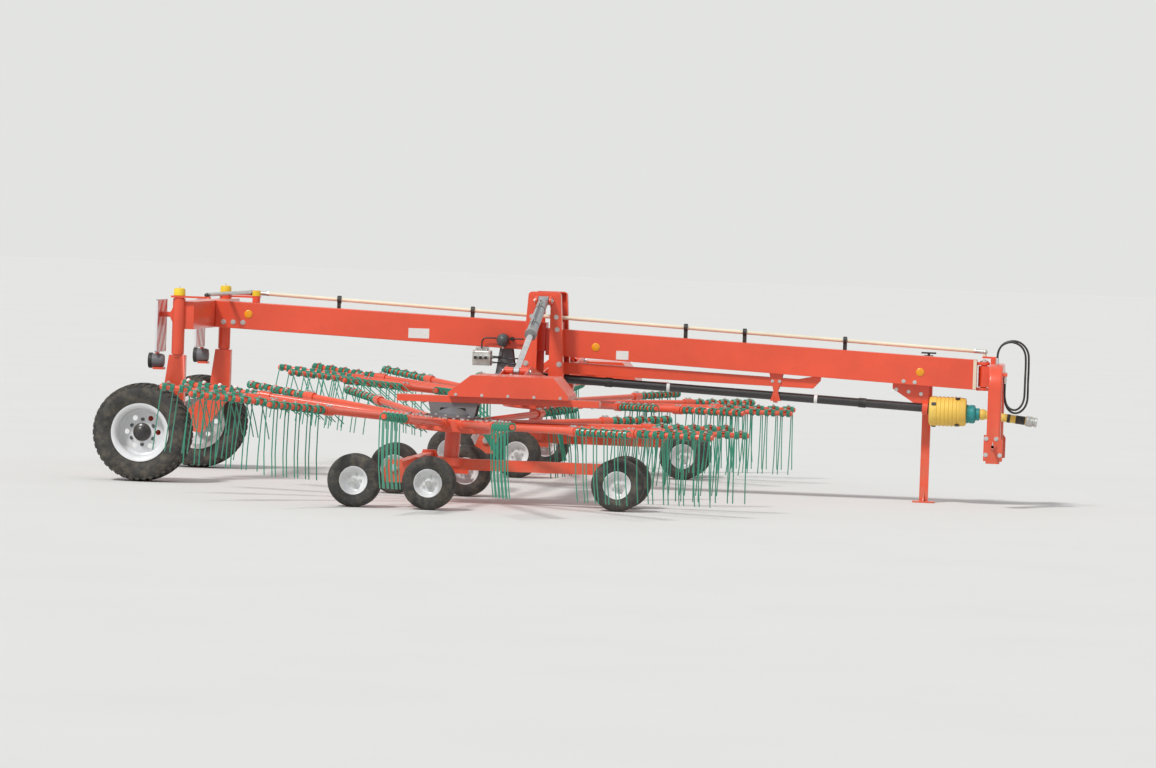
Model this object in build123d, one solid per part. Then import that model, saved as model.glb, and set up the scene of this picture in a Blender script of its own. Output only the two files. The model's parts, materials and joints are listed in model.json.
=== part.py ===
from build123d import *
import os
from math import atan2, cos, degrees, hypot, pi, radians, sin, tan

os.makedirs("parts", exist_ok=True)

# Towed two-rotor rotary rake, working position, millimetres.
# +X is forward, +Y is the machine's left, Z = 0 is the ground. Left-hand pieces
# are drawn first, and the right-hand ones are their mirror images.

# Fits and gaps
fit = 0.3              # running gap at pins, shafts and sleeves
air = 6.0              # least gap between faces that pass each other

# Main beam: two tapered box sections that meet inside the gantry
beam_half = 90.0
beam_front_x = 3214.0
beam_front_bottom = 936.0
beam_front_top = 1177.0
splice_x = -275.0
front_splice_bottom = 1088.0
front_splice_top = 1305.0
rear_splice_bottom = 1118.0
rear_splice_top = 1350.0
axle_beam_x = -3090.0
axle_beam_z = 1322.0
beam_rear_bottom = 1215.0
beam_rear_top = 1432.0

# Gantry over the splice
gantry_x = splice_x
gantry_y = 270.0       # middle of each upright plate
plate = 16.0
gantry_top = 1600.0
gantry_foot = 800.0
gantry_top_half = 130.0
gantry_foot_half = 180.0
slot_half = 50.0
gantry_web = 15.0
gantry_web_rear = -120.0
gantry_web_far = 120.0
flange_depth = 55.0
flange_wall = 12.0

# Swing arms
hinge_y = 350.0
hinge_z = 850.0
hinge_pin_r = 25.0
hinge_eye_r = 45.0
hinge_half = 160.0     # half length of the arm's hinge eye
lug = 29.0
arm_half = 100.0
arm_wall = 10.0
hood_y0 = 2350.0
hood_y1 = 2950.0
hood_bottom = 820.0
hood_top = 985.0
hood_x0 = -690.0
hood_x1 = 230.0
hood_slope_rear = 170.0
hood_slope_front = 115.0
hood_skirt = 30.0
hood_wall = 6.0
rail_x0 = -1090.0
rail_x1 = 460.0
rail_height = 50.0
rail_half = 80.0

# Lift cylinders
lift_top_y = 345.0
lift_top_z = 1530.0
lift_foot_y = 2050.0
lift_foot_z = 1000.0
lift_pin_r = 20.0
barrel_r = 42.0
rod_r = 25.0
gland_r = 48.0
gland_length = 45.0
barrel_length = 880.0
rod_length = 960.0
rod_eye_r = 36.0
lift_eye_half = 40.0
rod_eye_half = 20.0

# Rotors
rotor_x = -655.0
rotor_y = 2800.0
rotor_z = 600.0
rotor_tilt = 2.86      # degrees, front lower
hub_r = 300.0
hub_half = 50.0
hub_web_half = 42.0
socket_r = 37.0
socket_reach = 108.0   # from the hub's rim to the socket's mouth
post_r = 60.0
arm_count = 15
arm_r = 25.0
arm_rise = 0.05        # rise for each unit of reach
rotor_r = 2260.0
tine_bar_r = 21.0
collar_r = 36.0
collar_length = 82.0
comb_root = 76.0       # from the bearing collar to the first pair's middle
tine_first_r = 1670.0
tine_pairs = 5
tine_end = 62.0        # from the last pair's middle to the bar's tip
tine_pitch = (rotor_r - tine_end - tine_first_r) / (tine_pairs - 1)
tine_pair_gap = 90.0
coil_r = 32.0
coil_length = 36.0
tine_side = 10.0
tine_drop = 520.0
tine_kick = 49.0       # how far the tine's tip lies behind its coil
phase_right = 0.0
phase_left = 14.4

# Rotor chassis and its wheels
small_r = 200.0
small_width = 165.0
small_rim_r = 102.0
small_hub_r = 28.0
small_hub_half = 60.0
small_web = 12.0
small_axle_r = 12.0
bogie_y = 1100.0
bogie_rear_x = -590.0
bogie_front_x = -30.0
nose_x = 1300.0
nose_y = 270.0
chassis_z = 300.0
chassis_bar = 85.0
gearbox_base_r = 200.0
gearbox_base = 14.0
gearbox_low_r = 150.0
gearbox_top_r = 78.0
bracket_plate = 15.0
bracket_half_y = 82.0

# Transport wheels, kingpins and steering
tyre_r = 390.0
tyre_width = 340.0
rim_r = 206.0
wheel_hub_r = 72.0
dish_holes = 6
hole_ring_r = 125.0
hole_r = 21.0
axle_x = -3326.0
track_half = 1330.0
stub_r = 35.0
kingpin_x = -3110.0
wheel_room = 60.0      # from the tyre's inner wall to the kingpin's axis
kingpin_y = track_half - tyre_width / 2 - wheel_room
kingpin_r = 40.0
sleeve_r = 50.0
sleeve_bottom = 1010.0
sleeve_top = 1455.0
lever_plate = 15.0
lever_reach = 250.0
cap_r = 43.0
cap_height = 54.0
centre_lever_x = -2670.0
steer_rod_r = 16.0
front_rod_z = 1242.0
rear_rod_z = 1500.0
steer_rod_y = 50.0
centre_lever_y = 106.0
track_rod_r = 15.0
chord_half = 45.0
chord_height = 95.0
chord_gap = 45.0
chord_front_x = 1960.0
hanger_x = 1600.0
hanger_half = 42.0
hanger_plate = 8.0
hanger_ring_r = 56.0
bearing_x0 = 2540.0
bearing_x1 = 2832.0
guide_places = [2140.0, 1325.0, 845.0, -900.0, -2000.0]

# Headstock and hitch
yaw_x = 3270.0
yaw_pin_r = 25.0
yaw_ear = 25.0
yaw_eye_r = 45.0
yaw_z0 = 930.0
yaw_z1 = 1160.0
arch_x = 3376.0
arch_half = 400.0
arch_tube = 110.0
arch_top = 1150.0
arch_bottom = 360.0
link_pin_z = 500.0
link_pin_r = 14.0
link_pin_length = 90.0
link_collar = 12.0

# Hoses on the headstock, with the fittings that they leave and the holder that their couplings wait in
hose_r = 8.5
hose_bend = 0.45       # share of the shorter run that a bend takes up on its two runs
hose_fitting_r = 13.0
hose_top_z = 1200.0
hose_exit_y = (-60.0, -92.0)
coupling_y = (-262.0, -300.0)
coupling_x = 3449.0
coupling_z = 1000.0
coupling_r = 14.0
nose_r = 11.0
nose_length = 35.0
holder_z0 = 1060.0
holder_plate = 25.0
holder_reach = 36.0

# Drive line
drive_r = 35.0
drive_x0 = -510.0
drive_z0 = 915.0
drive_x1 = 2840.0
drive_z1 = 773.0
gearbox_x = -600.0
gearbox_half_y = 160.0
gearbox_bottom = 770.0
gearbox_top = 930.0
guard_x0 = 2840.0
guard_x1 = 3140.0
guard_r = 120.0
guard_z = 752.0
pto_x1 = 3710.0
pto_z1 = 690.0
pto_r = 32.5
pto_ball_r = 45.0
pto_joint_z = 738.0
ring_r = 75.0
ring_x1 = 3212.0
neck_r = 50.0
neck_x1 = 3246.0
pto_bore_r = 17.5
pto_bore_length = 70.0
pto_yoke_r = 42.0
pto_yoke_length = 90.0

# Jack
jack_x = 2810.0
jack_y = 250.0
jack_side = 70.0
jack_wall = 6.0
jack_foot_half = 90.0
jack_foot = 12.0
jack_pin_r = 9.0
jack_pin_z = 1060.0
jack_top = 1190.0
jack_sleeve_z0 = 780.0
jack_sleeve_z1 = 1120.0


def block(x0, x1, y0, y1, z0, z1):
    """A box between two corners."""
    return Pos((x0 + x1) / 2, (y0 + y1) / 2, (z0 + z1) / 2) * Box(x1 - x0, y1 - y0, z1 - z0)


def bar(a, b, radius):
    """A round bar from point a to point b."""
    start = Vector(*a)
    run = Vector(*b) - start
    return Solid.make_cylinder(radius, run.length, Plane(origin=start, z_dir=run))


def side_plate(outline, y0, y1):
    """An outline in X and Z, as thick as y0 to y1."""
    return extrude(Pos(0, y1, 0) * (Plane.XZ * Polygon(*outline, align=None)), y1 - y0, dir=(0, -1, 0))


def cross_plate(outline, x0, x1):
    """An outline in Y and Z, as thick as x0 to x1."""
    return extrude(Pos(x0, 0, 0) * (Plane.YZ * Polygon(*outline, align=None)), x1 - x0, dir=(1, 0, 0))


def flat_plate(outline, z0, z1):
    """An outline in X and Y, as thick as z0 to z1."""
    return extrude(Pos(0, 0, z0) * Polygon(*outline, align=None), z1 - z0, dir=(0, 0, 1))


def turned(outline):
    """An outline in radius and Y, turned about the Y axis."""
    return revolve(Polygon(*outline, align=None), axis=Axis.Y)


def mirrored(shape):
    return mirror(shape, about=Plane.XZ)


nodes = {}


def both_sides(name, left_shape):
    nodes[name + "_left"] = left_shape
    nodes[name + "_right"] = mirrored(left_shape)


def beam_line(x, x0, z0, x1, z1):
    """Height at x of the straight line from (x0, z0) to (x1, z1)."""
    return z0 + (z1 - z0) * (x - x0) / (x1 - x0)


def front_top(x):
    return beam_line(x, beam_front_x, beam_front_top, splice_x, front_splice_top)


def rear_bottom(x):
    return beam_line(x, splice_x, rear_splice_bottom, axle_front_x, beam_rear_bottom)


def rear_top(x):
    return beam_line(x, splice_x, rear_splice_top, axle_front_x, beam_rear_top)


axle_half_x = 100.0
axle_half_z = 110.0
axle_front_x = axle_beam_x + axle_half_x

beam_front = side_plate(
    [
        (beam_front_x, beam_front_bottom),
        (beam_front_x, beam_front_top),
        (splice_x, front_splice_top),
        (splice_x, front_splice_bottom),
    ],
    -beam_half,
    beam_half,
)
tail_cut_x = -2690.0
tail_cut_z = 1310.0
top_plate = 14.0
beam_rear = side_plate(
    [
        (splice_x, rear_splice_bottom),
        (splice_x, rear_splice_top),
        (tail_cut_x, rear_top(tail_cut_x)),
        (axle_front_x, tail_cut_z),
        (axle_front_x, beam_rear_bottom),
    ],
    -beam_half,
    beam_half,
)
# The plate over the beam's tapered tail, which the centre lever stands on
beam_rear += side_plate(
    [
        (tail_cut_x + 60, rear_top(tail_cut_x + 60) - top_plate),
        (tail_cut_x + 60, rear_top(tail_cut_x + 60)),
        (axle_front_x, beam_rear_top),
        (axle_front_x, beam_rear_top - top_plate),
    ],
    -beam_half,
    beam_half,
)
for y0 in (-beam_half, -6, beam_half - 12):
    beam_rear += side_plate(
        [
            (tail_cut_x, rear_top(tail_cut_x) - top_plate / 2),
            (axle_front_x, beam_rear_top - top_plate / 2),
            (axle_front_x, tail_cut_z - 1),
        ],
        y0,
        y0 + 12,
    )

# Lower chord under the front beam, from the gantry to where it meets the beam


def front_bottom(x):
    return beam_line(x, beam_front_x, beam_front_bottom, splice_x, front_splice_bottom)


chord_rear_x = gantry_x + gantry_web_far
chord_top = front_bottom(chord_rear_x) - chord_gap
chord = side_plate(
    [
        (chord_rear_x, chord_top - chord_height),
        (chord_rear_x, chord_top),
        (chord_front_x - 180, front_bottom(chord_front_x) - chord_gap / 2),
        (chord_front_x - 60, front_bottom(chord_front_x - 60)),
        (chord_front_x, front_bottom(chord_front_x)),
        (chord_front_x, front_bottom(chord_front_x) - 30),
        (chord_front_x - 60, front_bottom(chord_front_x) - chord_height),
    ],
    -chord_half,
    chord_half,
)
beam_front += chord

# Yaw bracket at the beam's front end, with the vertical pivot pin
yaw_ears = Part()
for z0 in (yaw_z0, yaw_z1 - yaw_ear):
    yaw_ears += block(beam_front_x, yaw_x, -yaw_eye_r, yaw_eye_r, z0, z0 + yaw_ear)
    yaw_ears += Pos(yaw_x, 0, z0 + yaw_ear / 2) * Cylinder(yaw_eye_r, yaw_ear)
yaw_ears += Pos(yaw_x, 0, (yaw_z0 + yaw_z1) / 2) * Cylinder(yaw_pin_r, yaw_z1 - yaw_z0)
nodes["main_beam_front"] = beam_front + yaw_ears
nodes["main_beam_rear"] = beam_rear

# Gantry: two slotted plates, webs round the beam, hinge lugs and pins
def gantry_plate():
    shape = side_plate(
        [
            (gantry_x - gantry_foot_half, gantry_foot),
            (gantry_x + gantry_foot_half, gantry_foot),
            (gantry_x + gantry_top_half, gantry_top),
            (gantry_x - gantry_top_half, gantry_top),
        ],
        gantry_y - plate / 2 - flange_depth,
        gantry_y + plate / 2,
    )
    inner = side_plate(
        [
            (gantry_x - gantry_foot_half + flange_wall, gantry_foot - 1),
            (gantry_x + gantry_foot_half - flange_wall, gantry_foot - 1),
            (gantry_x + gantry_top_half - flange_wall, gantry_top - flange_wall),
            (gantry_x - gantry_top_half + flange_wall, gantry_top - flange_wall),
        ],
        gantry_y - plate / 2 - flange_depth - 1,
        gantry_y - plate / 2,
    )
    shape = fillet((shape - inner).edges().filter_by(Axis.Y).group_by(Axis.Z)[-1], 30)
    arch_z = lift_top_z - slot_half
    shape -= block(
        gantry_x - slot_half,
        gantry_x + slot_half,
        gantry_y - plate,
        gantry_y + plate,
        gantry_foot - 1,
        arch_z,
    )
    shape -= bar((gantry_x, gantry_y - plate, arch_z), (gantry_x, gantry_y + plate, arch_z), slot_half)
    return shape


def gantry_side():
    shape = gantry_plate()
    inner_y = gantry_y - plate / 2
    for sign in (-1, 1):
        near = gantry_x + sign * (hinge_half + air)
        far = near + sign * lug
        x0 = min(near, far)
        shape += block(x0, x0 + lug, inner_y, hinge_y, hinge_z - 50, hinge_z + 50)
        shape += bar((x0, hinge_y, hinge_z), (x0 + lug, hinge_y, hinge_z), 50)
        ear_x = gantry_x + sign * (lift_eye_half + air + 10)
        shape += block(ear_x - 10, ear_x + 10, inner_y, lift_top_y, lift_top_z - 35, lift_top_z + 35)
        shape += bar((ear_x - 10, lift_top_y, lift_top_z), (ear_x + 10, lift_top_y, lift_top_z), 35)
    reach = hinge_half + air + lug
    shape += bar((gantry_x - reach, hinge_y, hinge_z), (gantry_x + reach, hinge_y, hinge_z), hinge_pin_r)
    reach = lift_eye_half + air + 20
    shape += bar(
        (gantry_x - reach, lift_top_y, lift_top_z),
        (gantry_x + reach, lift_top_y, lift_top_z),
        lift_pin_r,
    )
    return shape


gantry = gantry_side()
gantry = gantry + mirrored(gantry)
web_y = gantry_y - plate / 2
for web_x in (gantry_x + gantry_web_rear, gantry_x + gantry_web_far - gantry_web):
    gantry += cross_plate(
        [(-web_y, 960), (web_y, 960), (web_y, 1300), (web_y - 60, 1355), (60 - web_y, 1355), (-web_y, 1300)],
        web_x,
        web_x + gantry_web,
    )
gantry += block(gantry_x - 60, gantry_x + 60, -web_y, web_y, gantry_top - 62, gantry_top - flange_wall)
nodes["gantry"] = gantry - beam_front - beam_rear

# Central gearbox with its two output stubs, hung under the rear beam
gearbox = block(gearbox_x - 90, gearbox_x + 90, -gearbox_half_y, gearbox_half_y, gearbox_bottom, gearbox_top)
gearbox = fillet(gearbox.edges().filter_by(Axis.Y), 35)
gearbox += bar((gearbox_x, 0, gearbox_bottom - 14), (gearbox_x, 0, gearbox_bottom + 10), 60)
for y in (-gearbox_half_y, -8, gearbox_half_y - 16):
    gearbox += block(gearbox_x - 98, gearbox_x + 98, y, y + 16, gearbox_bottom + 25, gearbox_top - 25)
for y in (-60, 45):
    hanger = side_plate(
        [(gearbox_x - 80, gearbox_top - 6), (gearbox_x + 80, gearbox_top - 6), (gearbox_x + 45, 1160), (gearbox_x - 45, 1160)],
        y,
        y + 15,
    )
    gearbox += hanger - beam_rear
ball_r = 30.0
for sign in (-1, 1):
    gearbox += bar(
        (gearbox_x, sign * gearbox_half_y, hinge_z),
        (gearbox_x, sign * (hinge_y - ball_r - fit), hinge_z),
        26,
    )
    cone = Solid.make_cone(45, 85, 135, Plane(origin=(gearbox_x, sign * 165, hinge_z), z_dir=(0, sign, 0)))
    gearbox += cone
nodes["central_gearbox"] = gearbox

# Drive tube under the beam, wide-angle guard and the shaft to the tractor
drive = bar((drive_x0, 0, drive_z0), (drive_x1, 0, drive_z1), drive_r)
drive -= gearbox
nodes["drive_tube"] = drive
guard = Part() + bar((guard_x0, 0, guard_z), (guard_x1, 0, guard_z), guard_r)
guard += bar((guard_x1 - 10, 0, pto_joint_z), (ring_x1, 0, pto_joint_z), ring_r)
guard += bar((ring_x1 - 10, 0, pto_joint_z), (neck_x1, 0, pto_joint_z), neck_r)
guard -= Pos(yaw_x, 0, pto_joint_z) * Sphere(pto_ball_r + fit)
nodes["pto_guard"] = guard - drive
pto_start = Vector(yaw_x, 0, pto_joint_z)
pto_end = Vector(pto_x1, 0, pto_z1)
pto_run = (pto_end - pto_start).normalized()
shaft = Part() + bar(pto_start, pto_end, pto_r) + Pos(pto_start) * Sphere(pto_ball_r)
shaft += bar(pto_end - pto_run * pto_yoke_length, pto_end, pto_yoke_r)
shaft -= bar(pto_end - pto_run * pto_bore_length, pto_end + pto_run, pto_bore_r)
nodes["pto_shaft"] = shaft

# Hangers that carry the drive tube: a stirrup round the chord, and a bearing plate behind the guard


def drive_z(x):
    return beam_line(x, drive_x0, drive_z0, drive_x1, drive_z1)


def tube_ring(x, half):
    return bar((x - half, 0, drive_z(x - half)), (x + half, 0, drive_z(x + half)), hanger_ring_r)


hangers = tube_ring(hanger_x, 18)
for y in (-chord_half - hanger_plate, chord_half):
    hangers += side_plate(
        [
            (hanger_x - hanger_half, drive_z(hanger_x) - 40),
            (hanger_x + hanger_half, drive_z(hanger_x) - 40),
            (hanger_x + 18, drive_z(hanger_x) + 40),
            (hanger_x + hanger_half + 20, front_bottom(hanger_x) + 25),
            (hanger_x - hanger_half - 20, front_bottom(hanger_x) + 25),
            (hanger_x - 18, drive_z(hanger_x) + 40),
        ],
        y,
        y + hanger_plate,
    )
bearing_plate = side_plate(
    [
        (bearing_x0, front_bottom(bearing_x0) + 20),
        (bearing_x1, front_bottom(bearing_x1) + 20),
        (bearing_x1, drive_z(bearing_x1)),
        (bearing_x1 - 60, drive_z(bearing_x1)),
        (bearing_x0, front_bottom(bearing_x0) - 45),
    ],
    -5,
    5,
)
hangers += bearing_plate + tube_ring(bearing_x1 - 25, 22)
hangers -= bar((drive_x0, 0, drive_z0), (guard_x1, 0, drive_z(guard_x1)), drive_r + fit)
nodes["shaft_hangers"] = hangers - beam_front

# Valve block under the rear beam and the accumulator on the beam's right side
valve_x0 = -860.0
valve_x1 = -715.0
valve_z0 = 985.0
valve_z1 = 1105.0
valve = fillet(block(valve_x0, valve_x1, -160, -20, valve_z0, valve_z1).edges().filter_by(Axis.X), 12)
for k in range(3):
    spool_x = valve_x0 + 30 + k * 42
    valve += bar((spool_x, -160, valve_z0 + 65), (spool_x, -205, valve_z0 + 65), 17)
valve += block(valve_x0 + 20, valve_x1 - 20, -88, -76, valve_z1 - 10, rear_bottom(valve_x1) + 20)
nodes["valve_block"] = valve - beam_rear
ball_x = -614.0
ball_z = 1197.0
accumulator_r = 55.0
accumulator_neck = 70.0
accumulator_neck_r = 26.0
quarter = [(accumulator_r * sin(radians(t)), -accumulator_r * cos(radians(t))) for t in range(0, 150, 15)]
accumulator = turned(quarter + [(accumulator_neck_r, accumulator_neck), (0, accumulator_neck)])
nodes["accumulator"] = Pos(ball_x, -beam_half - accumulator_neck, ball_z) * accumulator

# Cross shafts from the central gearbox to the rotor gearboxes
input_y = rotor_y - 185.0
input_z = rotor_z + 110.0
both_sides(
    "cross_shaft",
    Part()
    + Pos(gearbox_x, hinge_y, hinge_z) * Sphere(ball_r)
    + bar((gearbox_x, hinge_y, hinge_z), (rotor_x, input_y - ball_r - fit, input_z), drive_r - 5)
    + Pos(rotor_x, input_y - ball_r - fit, input_z) * Sphere(ball_r),
)

# Rear axle beam with the kingpin sleeves
hex_outline = [
    (axle_beam_x - axle_half_x, axle_beam_z),
    (axle_beam_x - 45, axle_beam_z - axle_half_z),
    (axle_front_x, axle_beam_z - axle_half_z),
    (axle_front_x, axle_beam_z + axle_half_z),
    (axle_beam_x - 45, axle_beam_z + axle_half_z),
]
axle = side_plate(hex_outline, -kingpin_y, kingpin_y)
for sign in (-1, 1):
    axle += bar((kingpin_x, sign * kingpin_y, sleeve_bottom), (kingpin_x, sign * kingpin_y, sleeve_top), sleeve_r)
for sign in (-1, 1):
    axle -= bar(
        (kingpin_x, sign * kingpin_y, sleeve_bottom - 1),
        (kingpin_x, sign * kingpin_y, sleeve_top + 1),
        kingpin_r + fit,
    )
board_x = -3290.0
board_thick = 10.0
board_side = 420.0
board_y = kingpin_y - 190
board_z0 = 1020.0
for sign in (-1, 1):
    y0, y1 = sorted((sign * (board_y - 60), sign * (board_y + 60)))
    axle += block(board_x + board_thick, axle_beam_x - 40, y0, y1, axle_beam_z - 20, axle_beam_z + 20)
nodes["rear_axle_beam"] = axle

# Knuckles
leg_outline = [
    (kingpin_x + 65, sleeve_bottom - air),
    (kingpin_x - 65, sleeve_bottom - air),
    (kingpin_x - 110, 640),
    (axle_x - 95, 470),
    (axle_x - 95, 320),
    (axle_x + 60, 300),
    (kingpin_x + 65, 600),
]
lever_z = sleeve_top + air
knuckle = side_plate(leg_outline, kingpin_y - 50, kingpin_y + 30)
knuckle += bar((axle_x, kingpin_y, tyre_r), (axle_x, track_half + 70, tyre_r), stub_r)
knuckle += bar((kingpin_x, kingpin_y, sleeve_bottom - air - 20), (kingpin_x, kingpin_y, lever_z + lever_plate), kingpin_r)
knuckle += flat_plate(
    [
        (kingpin_x - 60, kingpin_y - 60),
        (kingpin_x + lever_reach, kingpin_y - 30),
        (kingpin_x + lever_reach, kingpin_y + 30),
        (kingpin_x - 60, kingpin_y + 60),
    ],
    lever_z,
    lever_z + lever_plate,
)
knuckle += bar(
    (kingpin_x, kingpin_y, lever_z),
    (kingpin_x, kingpin_y, lever_z + lever_plate + cap_height),
    cap_r,
)
both_sides("knuckle", knuckle)

# Transport wheels
cap_base = 76.0
dish_crown = 56.0
dish_slope = 0.25


def dish_y(r):
    """How far out the wheel's disc lies at a radius: a shallow cone that falls towards the rim."""
    return dish_crown - dish_slope * r


rim_outline = [
    (stub_r + fit, -60),
    (wheel_hub_r, -55),
    (wheel_hub_r, 20),
    (86, dish_y(86) - 8),
    (168, dish_y(168) - 8),
    (rim_r - 10, -10),
    (rim_r - 10, -150),
    (rim_r + 24, -150),
    (rim_r + 24, -138),
    (rim_r, -138),
    (rim_r, 138),
    (rim_r + 24, 138),
    (rim_r + 24, 150),
    (rim_r + 8, 150),
    (rim_r - 16, 115),
    (rim_r - 20, 35),
    (168, dish_y(168)),
    (86, dish_y(86)),
    (73, 46),
    (45, 60),
    (42, 98),
    (30, 107),
    (0, 107),
    (0, cap_base),
    (stub_r + fit, cap_base),
]
bead = 137.5
tyre_outline = [
    (rim_r + fit, -bead),
    (rim_r + 26, -bead),
    (255, -163),
    (330, -tyre_width / 2),
    (375, -150),
    (tyre_r, -105),
    (tyre_r, 105),
    (375, 150),
    (330, tyre_width / 2),
    (255, 163),
    (rim_r + 26, bead),
    (rim_r + fit, bead),
]
hub_place = Pos(axle_x, track_half, tyre_r)
rim = turned(rim_outline)
for k in range(dish_holes):
    rim -= Rot(0, 360 * k / dish_holes, 0) * bar((hole_ring_r, -20, 0), (hole_ring_r, 60, 0), hole_r)
both_sides("transport_rim", hub_place * rim)
both_sides("transport_tyre", hub_place * turned(tyre_outline))

# Steering: the long rod, the centre lever and the track rod
lever_top = lever_z + lever_plate
pin_seat = lever_top + fit
steer_front_seat = yaw_z1 + 30 + lever_plate + fit
rod_start = (yaw_x, steer_rod_y, front_rod_z)
rod_end = (centre_lever_x, centre_lever_y, rear_rod_z)
steering_rod = Part() + bar(rod_start, rod_end, steer_rod_r)
steering_rod += bar((yaw_x, steer_rod_y, steer_front_seat), (yaw_x, steer_rod_y, front_rod_z + 20), 14)
steering_rod += bar(
    (centre_lever_x, centre_lever_y, pin_seat),
    (centre_lever_x, centre_lever_y, rear_rod_z + 20),
    14,
)
nodes["steering_rod"] = steering_rod
track_rod_x = kingpin_x + lever_reach - 30
centre_pivot_r = 32.0
pivot_top = rear_top(centre_lever_x - centre_pivot_r)
centre_lever = Part() + bar((centre_lever_x, 0, pivot_top + fit), (centre_lever_x, 0, lever_top + 45), centre_pivot_r)
centre_lever += flat_plate(
    [
        (centre_lever_x + 25, -25),
        (centre_lever_x + 20, centre_lever_y + 20),
        (centre_lever_x - 20, centre_lever_y + 20),
        (centre_lever_x - 30, 30),
        (track_rod_x - 20, 25),
        (track_rod_x - 20, -25),
    ],
    lever_z,
    lever_top,
)
nodes["steering_lever"] = centre_lever
track_rod_z = pin_seat + track_rod_r
nodes["track_rod"] = bar((track_rod_x, -kingpin_y, track_rod_z), (track_rod_x, kingpin_y, track_rod_z), track_rod_r)

# Guides that carry the long rod on the beam
guides = []
for guide_x in guide_places:
    top = front_top(guide_x) if guide_x > splice_x else rear_top(guide_x)
    share = (guide_x - yaw_x) / (centre_lever_x - yaw_x)
    y = steer_rod_y + share * (centre_lever_y - steer_rod_y)
    z = front_rod_z + share * (rear_rod_z - front_rod_z)
    ring = bar((guide_x - 15, y, z), (guide_x + 15, y, z), steer_rod_r + air + 10)
    post = block(guide_x - 15, guide_x + 15, y - 20, min(y + 20, beam_half), top - 40, z)
    guide = Part() + ring + post - bar((guide_x - 20, y, z), (guide_x + 20, y, z), steer_rod_r + air)
    guide -= beam_front if guide_x > splice_x else beam_rear
    guides.append(guide)
nodes["rod_guides"] = Compound(children=guides)

# Swing arm: an open-topped channel, its hinge eye, the hood and the cradle rail
arm_outline = [
    (hinge_y, hinge_z - 38),
    (hinge_y + 270, 800),
    (hood_y0, 800),
    (hood_y0, hood_top),
    (1900, 1040),
    (1100, 960),
    (hinge_y + 270, 925),
    (hinge_y, hinge_z + 38),
]
swing = cross_plate(arm_outline, gantry_x - arm_half, gantry_x - arm_half + arm_wall)
swing += cross_plate(arm_outline, gantry_x + arm_half - arm_wall, gantry_x + arm_half)
swing += block(gantry_x - arm_half, gantry_x + arm_half, hinge_y + 200, hood_y0, 800, 800 + arm_wall)
swing += bar((gantry_x - hinge_half, hinge_y, hinge_z), (gantry_x + hinge_half, hinge_y, hinge_z), hinge_eye_r)
def hood_profile(inset):
    """The hood's outline seen from the side, moved inwards by inset and open below."""
    low = hood_bottom - (1 if inset else 0)
    shoulder = hood_bottom + hood_skirt - inset / 2
    return [
        (hood_x0 + inset, low),
        (hood_x1 - inset, low),
        (hood_x1 - inset, shoulder),
        (hood_x1 - hood_slope_front - inset / 2, hood_top - inset),
        (hood_x0 + hood_slope_rear + inset / 2, hood_top - inset),
        (hood_x0 + inset, shoulder),
    ]


rail_z = hood_bottom - rail_height
swing += side_plate(hood_profile(0), hood_y0, hood_y1)
swing -= side_plate(hood_profile(hood_wall), hood_y0 + hood_wall, hood_y1 - hood_wall)
swing += block(rail_x0, rail_x1, rotor_y - rail_half, rotor_y + rail_half, rail_z, hood_bottom)
hood_rib = 12.0
for x in (gantry_x, hood_x1 - 120):
    swing += block(x, x + hood_rib, hood_y0 + 2, hood_y1 - 2, hood_bottom, hood_top - hood_wall - 17)
for sign in (-1, 1):
    inner = gantry_x + sign * (rod_eye_half + air)
    outer = gantry_x + sign * (arm_half - arm_wall / 2)
    swing += bar((inner, lift_foot_y, lift_foot_z), (outer, lift_foot_y, lift_foot_z), 34)
swing -= bar(
    (gantry_x - hinge_half - 1, hinge_y, hinge_z),
    (gantry_x + hinge_half + 1, hinge_y, hinge_z),
    hinge_pin_r + fit,
)
both_sides("swing_arm", swing)

# Lift cylinder, drawn from its top pin towards its foot pin
run_y = lift_foot_y - lift_top_y
run_z = lift_foot_z - lift_top_z
lift_length = hypot(run_y, run_z)
lift_plane = Plane(
    origin=(gantry_x, lift_top_y, lift_top_z),
    x_dir=(1, 0, 0),
    z_dir=(0, run_y, run_z),
)
barrel = Solid.make_cylinder(barrel_r, barrel_length - 30, lift_plane.offset(30))
barrel = Part() + barrel + bar(
    (gantry_x - lift_eye_half, lift_top_y, lift_top_z),
    (gantry_x + lift_eye_half, lift_top_y, lift_top_z),
    barrel_r - 6,
)
barrel -= bar(
    (gantry_x - lift_eye_half - 1, lift_top_y, lift_top_z),
    (gantry_x + lift_eye_half + 1, lift_top_y, lift_top_z),
    lift_pin_r + fit,
)
barrel += Solid.make_cylinder(gland_r, gland_length, lift_plane.offset(barrel_length - gland_length))
barrel -= Solid.make_cylinder(rod_r + fit, barrel_length, lift_plane.offset(60))
both_sides("lift_barrel", barrel)
rod = Part() + Solid.make_cylinder(rod_r, rod_length, lift_plane.offset(lift_length - rod_length))
rod += bar(
    (gantry_x - rod_eye_half, lift_foot_y, lift_foot_z),
    (gantry_x + rod_eye_half, lift_foot_y, lift_foot_z),
    rod_eye_r,
)
both_sides("lift_rod", rod)

# Rotor frame of reference: origin in the hub, Z along the spin axis
rotor_place = Pos(rotor_x, rotor_y, rotor_z) * Rot(0, rotor_tilt, 0)

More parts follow.
